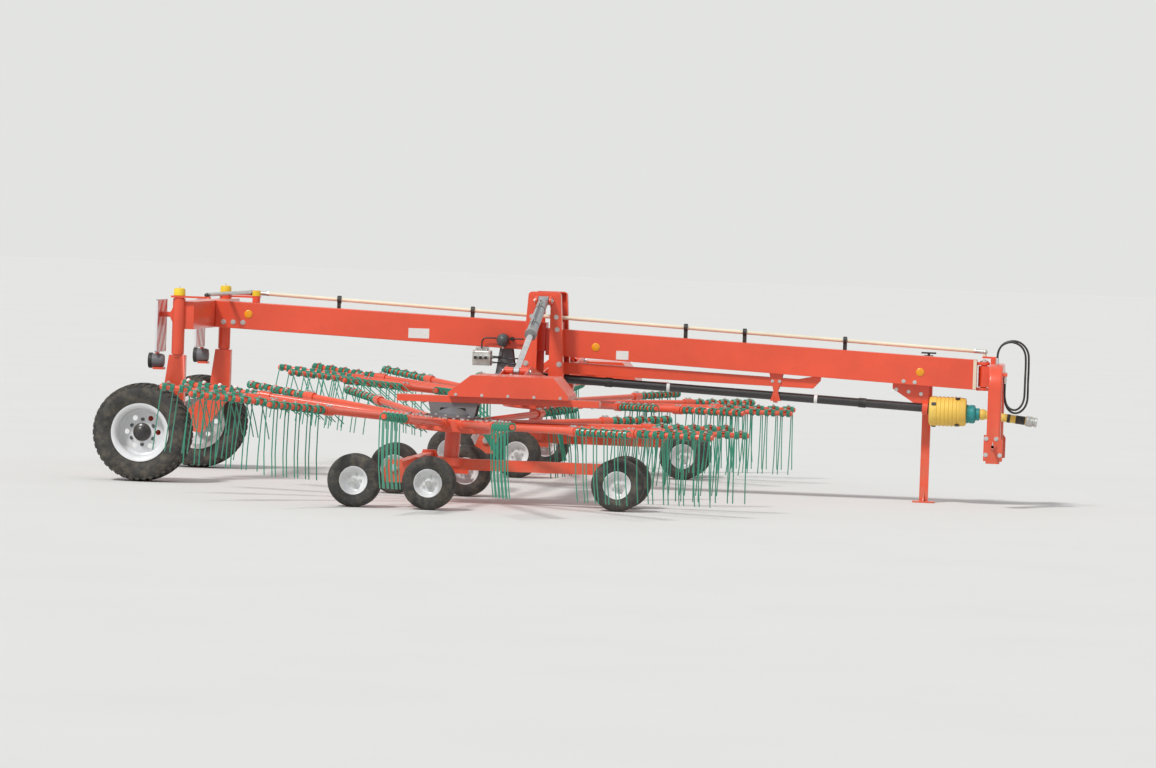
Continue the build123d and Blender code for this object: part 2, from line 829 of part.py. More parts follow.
base_z = hub_half + air
gearbox_profile = [
    (0, base_z),
    (gearbox_base_r, base_z),
    (gearbox_base_r, base_z + gearbox_base),
    (gearbox_low_r, base_z + gearbox_base),
    (gearbox_low_r, base_z + gearbox_base + 24),
    (gearbox_top_r, base_z + 84),
    (gearbox_top_r, base_z + 104),
    (0, base_z + 104),
]
rotor_gearbox = rotor_place * revolve(Plane.XZ * Polygon(*gearbox_profile, align=None), axis=Axis.Z)
rotor_gearbox += bar((rotor_x, rotor_y, rotor_z + base_z + 60), (rotor_x, rotor_y, rail_z), gearbox_top_r - 6)
rotor_gearbox += bar((rotor_x, rotor_y - 60, input_z), (rotor_x, rotor_y - 150, input_z), 52)
rotor_gearbox += bar((rotor_x, rotor_y - 100, input_z), (rotor_x, input_y, input_z), ball_r)
for sign in (-1, 1):
    y = rotor_y + sign * bracket_half_y
    leg_z = rotor_z + base_z + gearbox_base - 8
    rotor_gearbox += side_plate(
        [
            (rotor_x - 190, rail_z),
            (rotor_x + 190, rail_z),
            (rotor_x + 165, leg_z),
            (rotor_x + 115, leg_z),
            (rotor_x + 95, rail_z - 40),
            (rotor_x - 95, rail_z - 40),
            (rotor_x - 115, leg_z),
            (rotor_x - 165, leg_z),
        ],
        y - bracket_plate / 2,
        y + bracket_plate / 2,
    )
rotor_gearbox += block(
    rotor_x - 190,
    rotor_x + 190,
    rotor_y - bracket_half_y,
    rotor_y + bracket_half_y,
    rail_z - bracket_plate,
    rail_z,
)
both_sides("rotor_gearbox", rotor_gearbox)

# Rotor chassis: post, bars, bogies and axles
post_bottom = -(rotor_z - chassis_z)
post_length = hub_half + air - post_bottom
chassis = rotor_place * (Pos(0, 0, post_bottom + post_length / 2) * Cylinder(post_r, post_length))
half_bar = chassis_bar / 2
pivot_x = rotor_x + (bogie_rear_x + bogie_front_x) / 2
nose = rotor_x + nose_x
rocker_y = bogie_y - small_width / 2 - 45
chassis += block(pivot_x - 40, nose - 60, rotor_y - 35, rotor_y + 35, chassis_z - half_bar, chassis_z + half_bar)
chassis += block(pivot_x - 35, pivot_x + 35, rotor_y - rocker_y, rotor_y + rocker_y, chassis_z - 40, chassis_z + 40)
chassis += side_plate(
    [
        (nose - 130, chassis_z - half_bar),
        (nose - 130, chassis_z + half_bar),
        (nose - 20, chassis_z + half_bar),
        (nose + 36, small_r + 40),
        (nose + 36, small_r - 30),
        (nose - 30, small_r - 30),
    ],
    rotor_y - 35,
    rotor_y + 35,
)
chassis += bar((nose, rotor_y - nose_y + 120, small_r), (nose, rotor_y + nose_y - 120, small_r), 30)
chassis += rotor_place * (Pos(0, 0, 20 - (rotor_z - chassis_z)) * Cylinder(105, 60))
chassis += bar((nose, rotor_y - nose_y - 60, small_r), (nose, rotor_y + nose_y + 60, small_r), small_axle_r)
for sign in (-1, 1):
    inner = rotor_y + sign * rocker_y
    y0, y1 = sorted((inner, inner + sign * 30))
    rear, front = rotor_x + bogie_rear_x, rotor_x + bogie_front_x
    chassis += side_plate(
        [
            (rear - 32, small_r - 22),
            (pivot_x - 60, small_r - 10),
            (pivot_x + 60, small_r - 10),
            (front + 32, small_r - 22),
            (front + 32, small_r + 22),
            (pivot_x + 90, small_r + 60),
            (pivot_x + 50, chassis_z + 60),
            (pivot_x - 50, chassis_z + 60),
            (pivot_x - 90, small_r + 60),
            (rear - 32, small_r + 22),
        ],
        y0,
        y1,
    )
    boss = sorted((inner - sign * 10, inner + sign * 44))
    chassis += bar((pivot_x, boss[0], chassis_z), (pivot_x, boss[1], chassis_z), 34)
    for x in (bogie_rear_x, bogie_front_x):
        chassis += bar(
            (rotor_x + x, inner, small_r),
            (rotor_x + x, rotor_y + sign * (bogie_y + 60), small_r),
            small_axle_r,
        )
both_sides("rotor_chassis", chassis)

# Small wheels, tyre and rim in one node each
small_tyre = turned(
    [
        (small_rim_r, -72),
        (150, -small_width / 2),
        (188, -72),
        (small_r, -40),
        (small_r, 40),
        (188, 72),
        (150, small_width / 2),
        (small_rim_r, 72),
    ]
)
small_rim = turned(
    [
        (small_axle_r + fit, -small_hub_half),
        (small_hub_r, -small_hub_half),
        (small_hub_r, -small_web),
        (86, -small_web),
        (92, -64),
        (small_rim_r - fit, -71),
        (small_rim_r - fit, 71),
        (92, 64),
        (86, small_web),
        (small_hub_r, small_web),
        (small_hub_r, small_hub_half),
        (small_axle_r + fit, small_hub_half),
    ]
)
wheel_places = [
    ("outer_rear", bogie_rear_x, bogie_y),
    ("outer_front", bogie_front_x, bogie_y),
    ("inner_rear", bogie_rear_x, -bogie_y),
    ("inner_front", bogie_front_x, -bogie_y),
    ("nose_outer", nose_x, nose_y),
    ("nose_inner", nose_x, -nose_y),
]
for place, x, y in wheel_places:
    spot = Pos(rotor_x + x, rotor_y + y, small_r)
    left = Compound(children=[spot * small_tyre, spot * small_rim])
    nodes["wheel_" + place + "_left"] = left
    right_spot = Pos(rotor_x + x, -rotor_y - y, small_r)
    nodes["wheel_" + place + "_right"] = Compound(children=[right_spot * small_tyre, right_spot * small_rim])


# Tine rotor
def tine_swing(angle, side):
    """Degrees that the cam turns a tine bar: most at the inner rear."""
    lift_at = 180 + side * 45
    away = (angle - lift_at + 180) % 360 - 180
    return 70 * max(0.0, cos(radians(away))) ** 2


comb_x0 = tine_first_r - comb_root


def octagon_bar(x0, x1, radius):
    """An eight-sided bar along X, with its flats on the circle of the radius."""
    return extrude(Pos(x0, 0, 0) * (Plane.YZ * RegularPolygon(radius, 8, major_radius=False)), amount=x1 - x0)


def tine_comb(turn):
    """A tine bar along +X with its spring tines. Each leg hangs from its own coil round the bar."""
    pieces = []
    half = tine_side / 2
    middle = turn * (coil_r - half)
    tip = middle - turn * tine_kick
    bend = middle - turn * 8
    for pair in range(tine_pairs):
        for side in (-1, 1):
            leg_x = tine_first_r + pair * tine_pitch + side * tine_pair_gap / 2
            coil_ends = sorted((leg_x + side * half, leg_x + side * (half - coil_length)))
            pieces.append(octagon_bar(*coil_ends, coil_r))
            leg = cross_plate(
                [
                    (middle - half, 0),
                    (middle + half, 0),
                    (bend + half, -tine_drop / 3),
                    (tip + half, -tine_drop),
                    (tip - half, -tine_drop),
                    (bend - half, -tine_drop / 3),
                ],
                leg_x - half,
                leg_x + half,
            )
            pieces.append(leg)
    return octagon_bar(comb_x0, rotor_r, tine_bar_r) + pieces


def tine_arm(comb, swing_angle, turn):
    """One arm along +X: socket, tube and bearing collar, with its comb turned about the arm."""
    shape = Part() + bar((hub_r - 40, 0, 0), (comb_x0, 0, 0), arm_r)
    shape += bar((hub_r - 40, 0, 0), (hub_r + socket_reach, 0, 0), socket_r)
    shape += bar((comb_x0 - collar_length, 0, 0), (comb_x0, 0, 0), collar_r)
    return shape + Rot(turn * swing_angle, 0, 0) * comb


def tine_rotor(side, phase):
    rotor = revolve(
        Plane.XZ
        * Polygon(
            (post_r + fit, -hub_half),
            (hub_r - 15, -hub_half),
            (hub_r, 12 - hub_half),
            (hub_r, hub_half - 12),
            (hub_r - 15, hub_half),
            (gearbox_base_r, hub_half),
            (gearbox_base_r - 15, hub_web_half),
            (post_r + fit, hub_web_half),
            align=None,
        ),
        axis=Axis.Z,
    )
    rise = degrees(atan2(arm_rise, 1))
    comb = tine_comb(side)
    arms = []
    for k in range(arm_count):
        angle = phase + 360 * k / arm_count
        arms.append(Rot(0, 0, angle) * (Rot(0, -rise, 0) * tine_arm(comb, tine_swing(angle, side), side)))
    rotor += arms
    return Pos(rotor_x, side * rotor_y, rotor_z) * (Rot(0, rotor_tilt, 0) * rotor)


nodes["tine_rotor_left"] = tine_rotor(1, phase_left)
nodes["tine_rotor_right"] = tine_rotor(-1, phase_right)

# Headstock arch with the two lower-link pins, turning on the yaw pin
arch_half_tube = arch_tube / 2
arch_bend = 140.0
arch_leg = arch_half - arch_half_tube
arch_line = FilletPolyline(
    (arch_x, -arch_leg, arch_bottom),
    (arch_x, -arch_leg, arch_top - arch_half_tube),
    (arch_x, arch_leg, arch_top - arch_half_tube),
    (arch_x, arch_leg, arch_bottom),
    radius=arch_bend,
)
arch_section = Plane(origin=arch_line @ 0, z_dir=arch_line % 0) * RectangleRounded(arch_tube, arch_tube, 18)
arch = Part() + sweep(arch_section, path=arch_line)
link_plate = 15.0
for sign in (-1, 1):
    y0, y1 = sorted((sign * arch_half, sign * (arch_half - link_plate)))
    arch += side_plate(
        [
            (arch_x - 75, arch_bottom + 20),
            (arch_x + 75, arch_bottom + 20),
            (arch_x + 75, link_pin_z + 45),
            (arch_x + 40, link_pin_z + 90),
            (arch_x - 75, link_pin_z + 90),
        ],
        y0,
        y1,
    )
    arch += bar(
        (arch_x, sign * arch_half, link_pin_z),
        (arch_x, sign * (arch_half + link_collar + link_pin_length), link_pin_z),
        link_pin_r,
    )
    arch += bar(
        (arch_x, sign * arch_half, link_pin_z),
        (arch_x, sign * (arch_half + link_collar), link_pin_z),
        2 * link_pin_r,
    )
knuckle_z0 = yaw_z0 + yaw_ear + air
knuckle_z1 = yaw_z1 - yaw_ear - air
arch += block(yaw_x, arch_x, -yaw_eye_r, yaw_eye_r, knuckle_z0, knuckle_z1)
arch += cross_plate(
    [(-yaw_eye_r, knuckle_z0), (yaw_eye_r, knuckle_z0), (170, arch_top - 70), (-170, arch_top - 70)],
    arch_x - 8,
    arch_x + 8,
)
arch += bar((yaw_x, 0, knuckle_z0), (yaw_x, 0, knuckle_z1), yaw_eye_r)
steer_post_z = yaw_z1 + 30
arch += block(yaw_x + yaw_eye_r + air, arch_x, -40, 40, arch_top - arch_tube, steer_post_z)
arch += flat_plate(
    [
        (arch_x, -40),
        (arch_x, 40),
        (yaw_x, steer_rod_y + 20),
        (yaw_x - 20, steer_rod_y + 20),
        (yaw_x - 20, steer_rod_y - 20),
        (yaw_x, steer_rod_y - 20),
    ],
    steer_post_z,
    steer_post_z + lever_plate,
)
arch -= bar((yaw_x, 0, knuckle_z0 - 1), (yaw_x, 0, knuckle_z1 + 1), yaw_pin_r + fit)

# Holder on the arch's front face, with the two couplings parked in it
arch_front = arch_x + arch_half_tube
holder_z1 = holder_z0 + holder_plate
arch += block(
    arch_front,
    arch_front + holder_reach,
    coupling_y[1] - 2 * coupling_r,
    coupling_y[0] + 2 * coupling_r,
    holder_z0,
    holder_z1,
)
for name, y in zip(("supply_coupling", "return_coupling"), coupling_y):
    arch -= bar((coupling_x, y, holder_z0 - 1), (coupling_x, y, holder_z1 + 1), nose_r + fit)
    body = bar((coupling_x, y, coupling_z), (coupling_x, y, holder_z0), coupling_r)
    nodes[name] = body + bar((coupling_x, y, holder_z0), (coupling_x, y, holder_z0 + nose_length), nose_r)
nodes["headstock_arch"] = arch

# Hoses: each rises from its fitting on the arch, hangs in front in a loop and ends in its coupling
fittings = [bar((arch_x, y, arch_top), (arch_x, y, hose_top_z), hose_fitting_r) for y in hose_exit_y]
nodes["hose_fittings"] = Compound(children=fittings)
hose_routes = {
    "supply_hose": [
        (3376, -60, 1200),
        (3376, -60, 1247),
        (3408, -64, 1309),
        (3470, -71, 1340),
        (3536, -80, 1340),
        (3592, -87, 1305),
        (3626, -91, 1246),
        (3629, -92, 1168),
        (3630, -91, 1091),
        (3628, -94, 1012),
        (3630, -92, 934),
        (3629, -96, 856),
        (3605, -116, 799),
        (3562, -156, 765),
        (3516, -200, 764),
        (3475, -238, 798),
        (3452, -259, 855),
        (3449, -262, 928),
        (3449, -262, 1000),
    ],
    "return_hose": [
        (3376, -92, 1200),
        (3376, -92, 1243),
        (3404, -95, 1302),
        (3464, -103, 1332),
        (3520, -111, 1328),
        (3572, -120, 1297),
        (3602, -123, 1242),
        (3606, -125, 1170),
        (3606, -124, 1097),
        (3605, -123, 1025),
        (3605, -126, 948),
        (3604, -127, 877),
        (3584, -150, 822),
        (3548, -188, 789),
        (3507, -235, 792),
        (3471, -275, 821),
        (3453, -297, 878),
        (3449, -300, 938),
        (3449, -300, 1000),
    ],
}


def hose_tube(route):
    """A round tube on straight runs joined by tangent arcs, each as large as its two runs allow."""
    points = [Vector(*point) for point in route]
    runs = [b - a for a, b in zip(points, points[1:])]
    radii = []
    for before, after in zip(runs, runs[1:]):
        half_turn = radians(before.get_angle(after)) / 2
        radii.append(hose_bend * min(before.length, after.length) / tan(half_turn))
    path = FilletPolyline(*points, radius=radii)
    tube = sweep(Plane(origin=path @ 0, z_dir=path % 0) * Circle(hose_r), path=path)
    print("radii", [round(radius) for radius in radii])
    print("length", round(path.length), "volume by length", round(tube.volume / (path.length * pi * hose_r**2), 4))
    return tube


for name, route in hose_routes.items():
    nodes[name] = hose_tube(route)

# Jack: a sleeve on the beam's left side, and the leg that slides in it
half_jack = jack_side / 2
sleeve_half = half_jack + jack_wall
sleeve = block(jack_x - sleeve_half, jack_x + sleeve_half, jack_y - sleeve_half, jack_y + sleeve_half, jack_sleeve_z0, jack_sleeve_z1)
sleeve -= block(
    jack_x - half_jack - fit,
    jack_x + half_jack + fit,
    jack_y - half_jack - fit,
    jack_y + half_jack + fit,
    jack_sleeve_z0 - 1,
    jack_sleeve_z1 + 1,
)
sleeve += block(jack_x - 40, jack_x + 40, beam_half, jack_y - sleeve_half, 985, 1085)
sleeve += bar((jack_x, jack_y + sleeve_half, jack_pin_z), (jack_x, jack_y + sleeve_half + 60, jack_pin_z), jack_pin_r)
for z in (985, 1073):
    sleeve += flat_plate(
        [
            (jack_x - 70, beam_half),
            (jack_x + 70, beam_half),
            (jack_x + sleeve_half, jack_y - sleeve_half),
            (jack_x - sleeve_half, jack_y - sleeve_half),
        ],
        z,
        z + 12,
    )
nodes["jack_sleeve"] = sleeve
leg = block(jack_x - half_jack, jack_x + half_jack, jack_y - half_jack, jack_y + half_jack, jack_foot, jack_top)
foot = Box(2 * jack_foot_half, 2 * jack_foot_half, jack_foot)
foot = fillet(foot.edges().filter_by(Axis.Z), 25)
leg += Pos(jack_x, jack_y, jack_foot / 2) * foot
leg += cross_plate(
    [(jack_y - 80, jack_foot), (jack_y + 80, jack_foot), (jack_y + half_jack, 90), (jack_y - half_jack, 90)],
    jack_x - 5,
    jack_x + 5,
)
nodes["jack_leg"] = leg

# Warning boards and rear lamps on arms from the axle beam
lamp_x = -3350.0
lamp_length = 125.0
lamp_r = 56.0
lamp_z = 952.0
lamp_out = 125.0       # from the board's middle
boards = []
lamps = []
for sign in (-1, 1):
    y0, y1 = sorted((sign * (board_y - board_side / 2), sign * (board_y + board_side / 2)))
    boards.append(block(board_x, board_x + board_thick, y0, y1, board_z0, board_z0 + board_side))
    lamp_y = sign * (board_y + lamp_out)
    lamp = bar((lamp_x, lamp_y, lamp_z), (lamp_x + lamp_length, lamp_y, lamp_z), lamp_r)
    lamp += bar((lamp_x, lamp_y, lamp_z), (lamp_x + 25, lamp_y, lamp_z), lamp_r + 6)
    lamp += block(lamp_x + 40, lamp_x + lamp_length, lamp_y - 45, lamp_y + 45, lamp_z - lamp_r - 14, board_z0)
    lamps.append(lamp)
nodes["warning_boards"] = Compound(children=boards)
nodes["rear_lamps"] = Compound(children=lamps)

for name, shape in nodes.items():
    export_step(Compound(children=[shape]) if isinstance(shape, Solid) else shape, f"parts/{name}.step")
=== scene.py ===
import json
from math import atan2, cos, pi, radians, sin

import bmesh
import bpy
import numpy as np
from mathutils import Matrix, Vector

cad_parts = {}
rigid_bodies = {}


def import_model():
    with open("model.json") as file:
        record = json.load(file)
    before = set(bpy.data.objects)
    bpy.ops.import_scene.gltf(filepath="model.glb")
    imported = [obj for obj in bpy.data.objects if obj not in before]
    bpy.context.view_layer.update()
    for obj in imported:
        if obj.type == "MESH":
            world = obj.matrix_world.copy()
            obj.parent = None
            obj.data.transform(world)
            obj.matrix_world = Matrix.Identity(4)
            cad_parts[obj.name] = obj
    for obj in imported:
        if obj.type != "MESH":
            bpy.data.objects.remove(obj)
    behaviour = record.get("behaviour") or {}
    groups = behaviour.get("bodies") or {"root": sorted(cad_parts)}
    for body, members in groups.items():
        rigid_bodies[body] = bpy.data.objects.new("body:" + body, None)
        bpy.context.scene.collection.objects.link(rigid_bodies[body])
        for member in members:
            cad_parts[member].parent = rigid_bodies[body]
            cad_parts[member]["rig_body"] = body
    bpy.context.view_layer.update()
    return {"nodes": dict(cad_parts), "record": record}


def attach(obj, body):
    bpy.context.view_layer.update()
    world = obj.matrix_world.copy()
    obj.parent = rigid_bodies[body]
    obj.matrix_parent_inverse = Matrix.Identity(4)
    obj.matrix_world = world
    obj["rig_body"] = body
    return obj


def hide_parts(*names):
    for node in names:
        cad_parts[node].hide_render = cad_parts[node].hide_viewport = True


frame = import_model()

# Driving sizes, metres, in the machine's own frame: +X forward, +Y left, Z = 0 on the ground
SIDES = {"left": 1, "right": -1}
ROTOR_X, ROTOR_Y, ROTOR_Z = -0.655, 2.8, 0.6
ROTOR_TILT = 2.86
ROTOR_R = 2.26
ARM_COUNT = 15
ARM_RISE = 0.05
PHASE = {"left": 14.4, "right": 0.0}
HUB_R, HUB_HALF = 0.3, 0.05
POST_R = 0.0603
PAIR_X = np.linspace(1.67, ROTOR_R - 0.062, 5)
TINE_DROP = 0.52
SMALL_R = 0.2
TYRE_R, TYRE_HALF = 0.39, 0.17
AXLE_X, TRACK_HALF = -3.326, 1.33
KINGPIN_X, KINGPIN_Y = -3.11, 1.1
BEAM_HALF = 0.09
GANTRY_X = -0.275
YAW_X = 3.27
ARCH_X = 3.376

# Small wheels by their places from the rotor's centre: name, forward, outward
SMALL_WHEELS = [
    ("outer_rear", -0.59, 1.1),
    ("outer_front", -0.03, 1.1),
    ("inner_rear", -0.59, -1.1),
    ("inner_front", -0.03, -1.1),
    ("nose_outer", 1.3, 0.27),
    ("nose_inner", 1.3, -0.27),
]

# Directions on the left side: OUT is away from the machine's middle
AHEAD, BACK, OUT, IN, UP, DOWN = (1, 0, 0), (-1, 0, 0), (0, 1, 0), (0, -1, 0), (0, 0, 1), (0, 0, -1)


def turn(angle, axis):
    """The matrix that turns by an angle in degrees."""
    return Matrix.Rotation(radians(angle), 4, axis)


def facing(way, axis="Y", upright="Z"):
    """The matrix that turns an axis to a direction."""
    return Vector(way).to_track_quat(axis, upright).to_matrix().to_4x4()


class Shape:
    """Points and faces as whole arrays. Each block of faces is an index array, one row for each face."""

    def __init__(self, points, *blocks):
        self.points = np.asarray(points, float).reshape(-1, 3)
        self.blocks = [np.asarray(b, int) for b in blocks]

    def moved(self, offset):
        return Shape(self.points + np.asarray(offset, float), *self.blocks)

    def placed(self, matrix):
        """Every point multiplied by a 4 by 4 matrix."""
        m = np.array(matrix)
        return Shape(self.points @ m[:3, :3].T + m[:3, 3], *self.blocks)

    def mirrored(self, axis=1):
        """The copy with one coordinate's sign changed and each face's order reversed."""
        signs = np.ones(3)
        signs[axis] = -1
        return Shape(self.points * signs, *[b[:, ::-1] for b in self.blocks])

    def on(self, side):
        """The shape itself on the left side, and its mirror image on the right."""
        return self if side > 0 else self.mirrored()

    def both(self):
        """The shape and its mirror image across the machine's middle."""
        return joined([self, self.mirrored()])


def joined(shapes):
    """Points are stacked, and each shape's face indices are raised by the points before it."""
    shapes = list(shapes)
    starts = np.cumsum([0] + [len(s.points) for s in shapes[:-1]])
    blocks = [b + k for s, k in zip(shapes, starts) for b in s.blocks]
    return Shape(np.concatenate([s.points for s in shapes]), *blocks)


def repeated(shape, matrices):
    """Copies of a shape under each matrix: copy k of point p is R[k] p + t[k]."""
    m = np.array([np.array(x) for x in matrices])
    points = np.einsum("kij,nj->kni", m[:, :3, :3], shape.points) + m[:, None, :3, 3]
    raised = len(shape.points) * np.arange(len(m))[:, None, None]
    return Shape(points, *[(b[None] + raised).reshape(-1, b.shape[1]) for b in shape.blocks])


def grid(points, close_rows=False, close_cols=False, caps=False):
    """Quads over an array of points (rows, columns, 3); a closed way joins its last line to its first.
    With caps, the first and the last row are each closed by one face."""
    rows, cols = points.shape[:2]
    i = np.arange(rows if close_rows else rows - 1)[:, None]
    j = np.arange(cols if close_cols else cols - 1)[None, :]
    near, far = i * cols, (i + 1) % rows * cols
    over = (j + 1) % cols
    blocks = [np.stack([near + j, near + over, far + over, far + j], -1).reshape(-1, 4)]
    if caps:
        blocks += [np.arange(cols)[None, ::-1], (rows - 1) * cols + np.arange(cols)[None, :]]
    return Shape(points, *blocks)


def turned(profile, sides, axis="Y"):
    """A profile of (radius, height) carried round an axis: point = (r cos t, h, r sin t) for axis Y. One
    that starts on the axis ends there too. Any other is a ring's, and its last point joins its first."""
    profile = np.asarray(profile, float)
    t = 2 * pi * np.arange(sides) / sides
    r, h = profile[:, 0], profile[:, 1]
    x = np.outer(np.cos(t), r)
    z = np.outer(np.sin(t), r)
    y = np.broadcast_to(h, x.shape)
    order = {"Y": (x, y, z), "X": (y, x, z), "Z": (x, z, y)}[axis]
    return grid(np.stack(order, -1), close_rows=True, close_cols=r[0] > 0)


def symmetric(profile):
    """Half a profile and its mirror image across height 0, in one run."""
    return profile + [(r, -h) for r, h in profile[::-1]]


def disc(radius, low, high, sides, axis="Y", inner=0):
    """A straight cylinder or ring about an axis, between two heights."""
    return turned([(inner, low), (radius, low), (radius, high), (inner, high)], sides, axis)


def tube(path, radius, sides, up=UP, closed=False):
    """A circle carried along a path: point = centre + radius (cos t side + sin t over), where side is
    the path's direction crossed with a fixed way up, and over is side crossed with the direction."""
    path = np.asarray(path, float)
    ahead = np.roll(path, -1, 0) - np.roll(path, 1, 0)
    if not closed:
        ahead[0] = path[1] - path[0]
        ahead[-1] = path[-1] - path[-2]
    ahead /= np.linalg.norm(ahead, axis=1)[:, None]
    side = np.cross(ahead, np.asarray(up, float))
    side /= np.linalg.norm(side, axis=1)[:, None]
    over = np.cross(side, ahead)
    t = 2 * pi * np.arange(sides) / sides
    ring = np.cos(t)[None, :, None] * side[:, None] + np.sin(t)[None, :, None] * over[:, None]
    return grid(path[:, None] + radius * ring, close_rows=closed, close_cols=True, caps=not closed)


def bar(a, b, radius, sides=16):
    """A straight tube from a to b. The fixed way up is +Z, or +Y for a steep one."""
    a, b = np.asarray(a, float), np.asarray(b, float)
    way = np.abs(b - a)
    return tube([a, b], radius, sides, UP if way[2] < 0.8 * way.max() else OUT)


def plate(outline, low, high):
    """A flat outline in X and Z carried straight along Y from low to high."""
    x, z = np.asarray(outline, float).T
    rows = [np.stack([x, np.full(len(x), y), z], -1) for y in (low, high)]
    return grid(np.stack(rows), close_cols=True, caps=True)


def block(low, high):
    """A box between two corners."""
    (x0, y0, z0), (x1, y1, z1) = low, high
    return plate([(x0, z0), (x1, z0), (x1, z1), (x0, z1)], y0, y1)


def nuts(places, way, across, height):
    """Six-sided heads facing one way, each on a washer half as wide again."""
    nut = joined([disc(across, 0, height, 6), disc(1.5 * across, -0.002, 0.002, 16)]).placed(facing(way))
    return joined([nut.moved(place) for place in places])


def circle(place, count, start, axis="Y"):
    """A place turned about an axis to even angles, the first at a start in degrees."""
    return [turn(start + 360 * k / count, axis) @ Vector(place) for k in range(count)]


def added(name, data):
    """A new object in the scene."""
    obj = bpy.data.objects.new(name, data)
    bpy.context.scene.collection.objects.link(obj)
    return obj


def mended(mesh, gap, smooth=35.0, outwards=False, flatten=False):
    """Merges points closer than a gap, turns faces outwards or joins level ones where asked, and shades
    the mesh smooth up to an angle."""
    work = bmesh.new()
    work.from_mesh(mesh)
    bmesh.ops.remove_doubles(work, verts=work.verts, dist=gap)
    if outwards:
        bmesh.ops.recalc_face_normals(work, faces=work.faces)
    if flatten:
        bmesh.ops.dissolve_limit(work, angle_limit=radians(0.5), verts=work.verts, edges=work.edges)
    work.to_mesh(mesh)
    work.free()
    mesh.validate()
    mesh.polygons.foreach_set("use_smooth", np.ones(len(mesh.polygons), bool))
    mesh.set_sharp_from_angle(angle=radians(smooth))


def fitted(name, data, body, replaced=(), bevel=0.0, bevel_angle=30.0):
    """Puts a mesh or a curve on its body, with a small live bevel where asked."""
    obj = added(name, data)
    if bevel:
        edge = obj.modifiers.new("edge", "BEVEL")
        edge.width = bevel
        edge.segments = 2
        edge.limit_method = "ANGLE"
        edge.angle_limit = radians(bevel_angle)
        edge.harden_normals = True
    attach(obj, body)
    if replaced:
        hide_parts(*replaced)
    return obj


def piece(name, shape, finish, body="frame", *replaced, bevel=0.0, smooth=35.0):
    """Makes a shape's mesh with foreach_set, gives it its finish and puts it on its body."""
    mesh = bpy.data.meshes.new(name)
    sizes = np.concatenate([np.full(len(b), b.shape[1]) for b in shape.blocks]).astype(np.int32)
    loops = np.concatenate([b.ravel() for b in shape.blocks]).astype(np.int32)
    mesh.vertices.add(len(shape.points))
    mesh.vertices.foreach_set("co", shape.points.astype(np.float32).ravel())
    mesh.loops.add(len(loops))
    mesh.loops.foreach_set("vertex_index", loops)
    mesh.polygons.add(len(sizes))
    mesh.polygons.foreach_set("loop_start", np.cumsum(sizes, dtype=np.int32) - sizes)
    mesh.polygons.foreach_set("loop_total", sizes)
    mesh.update(calc_edges=True)
    mended(mesh, 1e-6, smooth, outwards=True)
    mesh.materials.append(MATERIALS[finish])
    return fitted(name, mesh, body, replaced, bevel)


def operator(operation, reflected=False):
    """A method that adds one Math node; the reflected one puts the other value first."""
    def method(self, other):
        return self.math(operation, *((other, self) if reflected else (self, other)))
    return method


class Number:
    """A socket that carries a number. Each arithmetic operator on it adds one Math node."""

    def __init__(self, nodes, socket):
        self.nodes, self.socket = nodes, socket

    def math(self, operation, *values):
        made = self.nodes.node("ShaderNodeMath", {"operation": operation}, dict(enumerate(values)))
        return Number(self.nodes, made.outputs[0])

    __add__ = __radd__ = operator("ADD")
    __mul__ = __rmul__ = operator("MULTIPLY")
    __sub__, __rsub__ = operator("SUBTRACT"), operator("SUBTRACT", reflected=True)
    __truediv__, __rtruediv__ = operator("DIVIDE"), operator("DIVIDE", reflected=True)
    __gt__ = operator("GREATER_THAN")

    def __abs__(self):
        return self.math("ABSOLUTE", self)

    def fraction(self):
        return self.math("FRACT", self)

    def between(self, low, high):
        """0 below low, 1 above high and straight between them."""
        values = {0: self, 1: low, 2: high, 3: 0.0, 4: 1.0}
        return Number(self.nodes, self.nodes.node("ShaderNodeMapRange", {"clamp": True}, values).outputs[0])


class Nodes:
    """A node tree, with one method that adds any node."""

    def __init__(self, tree):
        self.tree = tree

    def node(self, kind, settings=None, values=None):
        made = self.tree.nodes.new(kind)
        for name, value in (settings or {}).items():
            setattr(made, name, value)
        for key, value in (values or {}).items():
            if isinstance(value, Number):
                value = value.socket
            if isinstance(value, bpy.types.NodeSocket):
                self.tree.links.new(value, made.inputs[key])
            else:
                made.inputs[key].default_value = value
        return made


class Finish(Nodes):
    """A material whose patterns follow Object coordinates."""

    def __init__(self, name, **constants):
        self.material = bpy.data.materials.new(name)
        self.material.use_nodes = True
        super().__init__(self.material.node_tree)
        self.shader = self.tree.nodes["Principled BSDF"]
        for socket, value in constants.items():
            self.shader.inputs[socket.replace("_", " ")].default_value = value
        self.place = self.node("ShaderNodeTexCoord").outputs["Object"]
        split = self.node("ShaderNodeSeparateXYZ", {}, {0: self.place})
        self.y, self.z = (Number(self, split.outputs[axis]) for axis in "YZ")

    def noise(self, scale, detail=4.0, roughness=0.6):
        values = {"Vector": self.place, "Scale": scale, "Detail": detail, "Roughness": roughness}
        return Number(self, self.node("ShaderNodeTexNoise", {}, values).outputs[0])

    def mix(self, share, first, second):
        first, second = (c if isinstance(c, bpy.types.NodeSocket) else (*c, 1.0) for c in (first, second))
        return self.node("ShaderNodeMix", {"data_type": "RGBA"}, {0: share, 6: first, 7: second}).outputs[2]

    def set(self, **links):
        """Links sockets of the surface shader: Base_Color, Roughness, Metallic or Coat_Weight."""
        for name, value in links.items():
            socket = value.socket if isinstance(value, Number) else value
            self.tree.links.new(socket, self.shader.inputs[name.replace("_", " ")])

    def bump(self, height, distance):
        made = self.node("ShaderNodeBump", {}, {"Height": height, "Distance": distance, "Strength": 0.5})
        self.set(Normal=made.outputs[0])


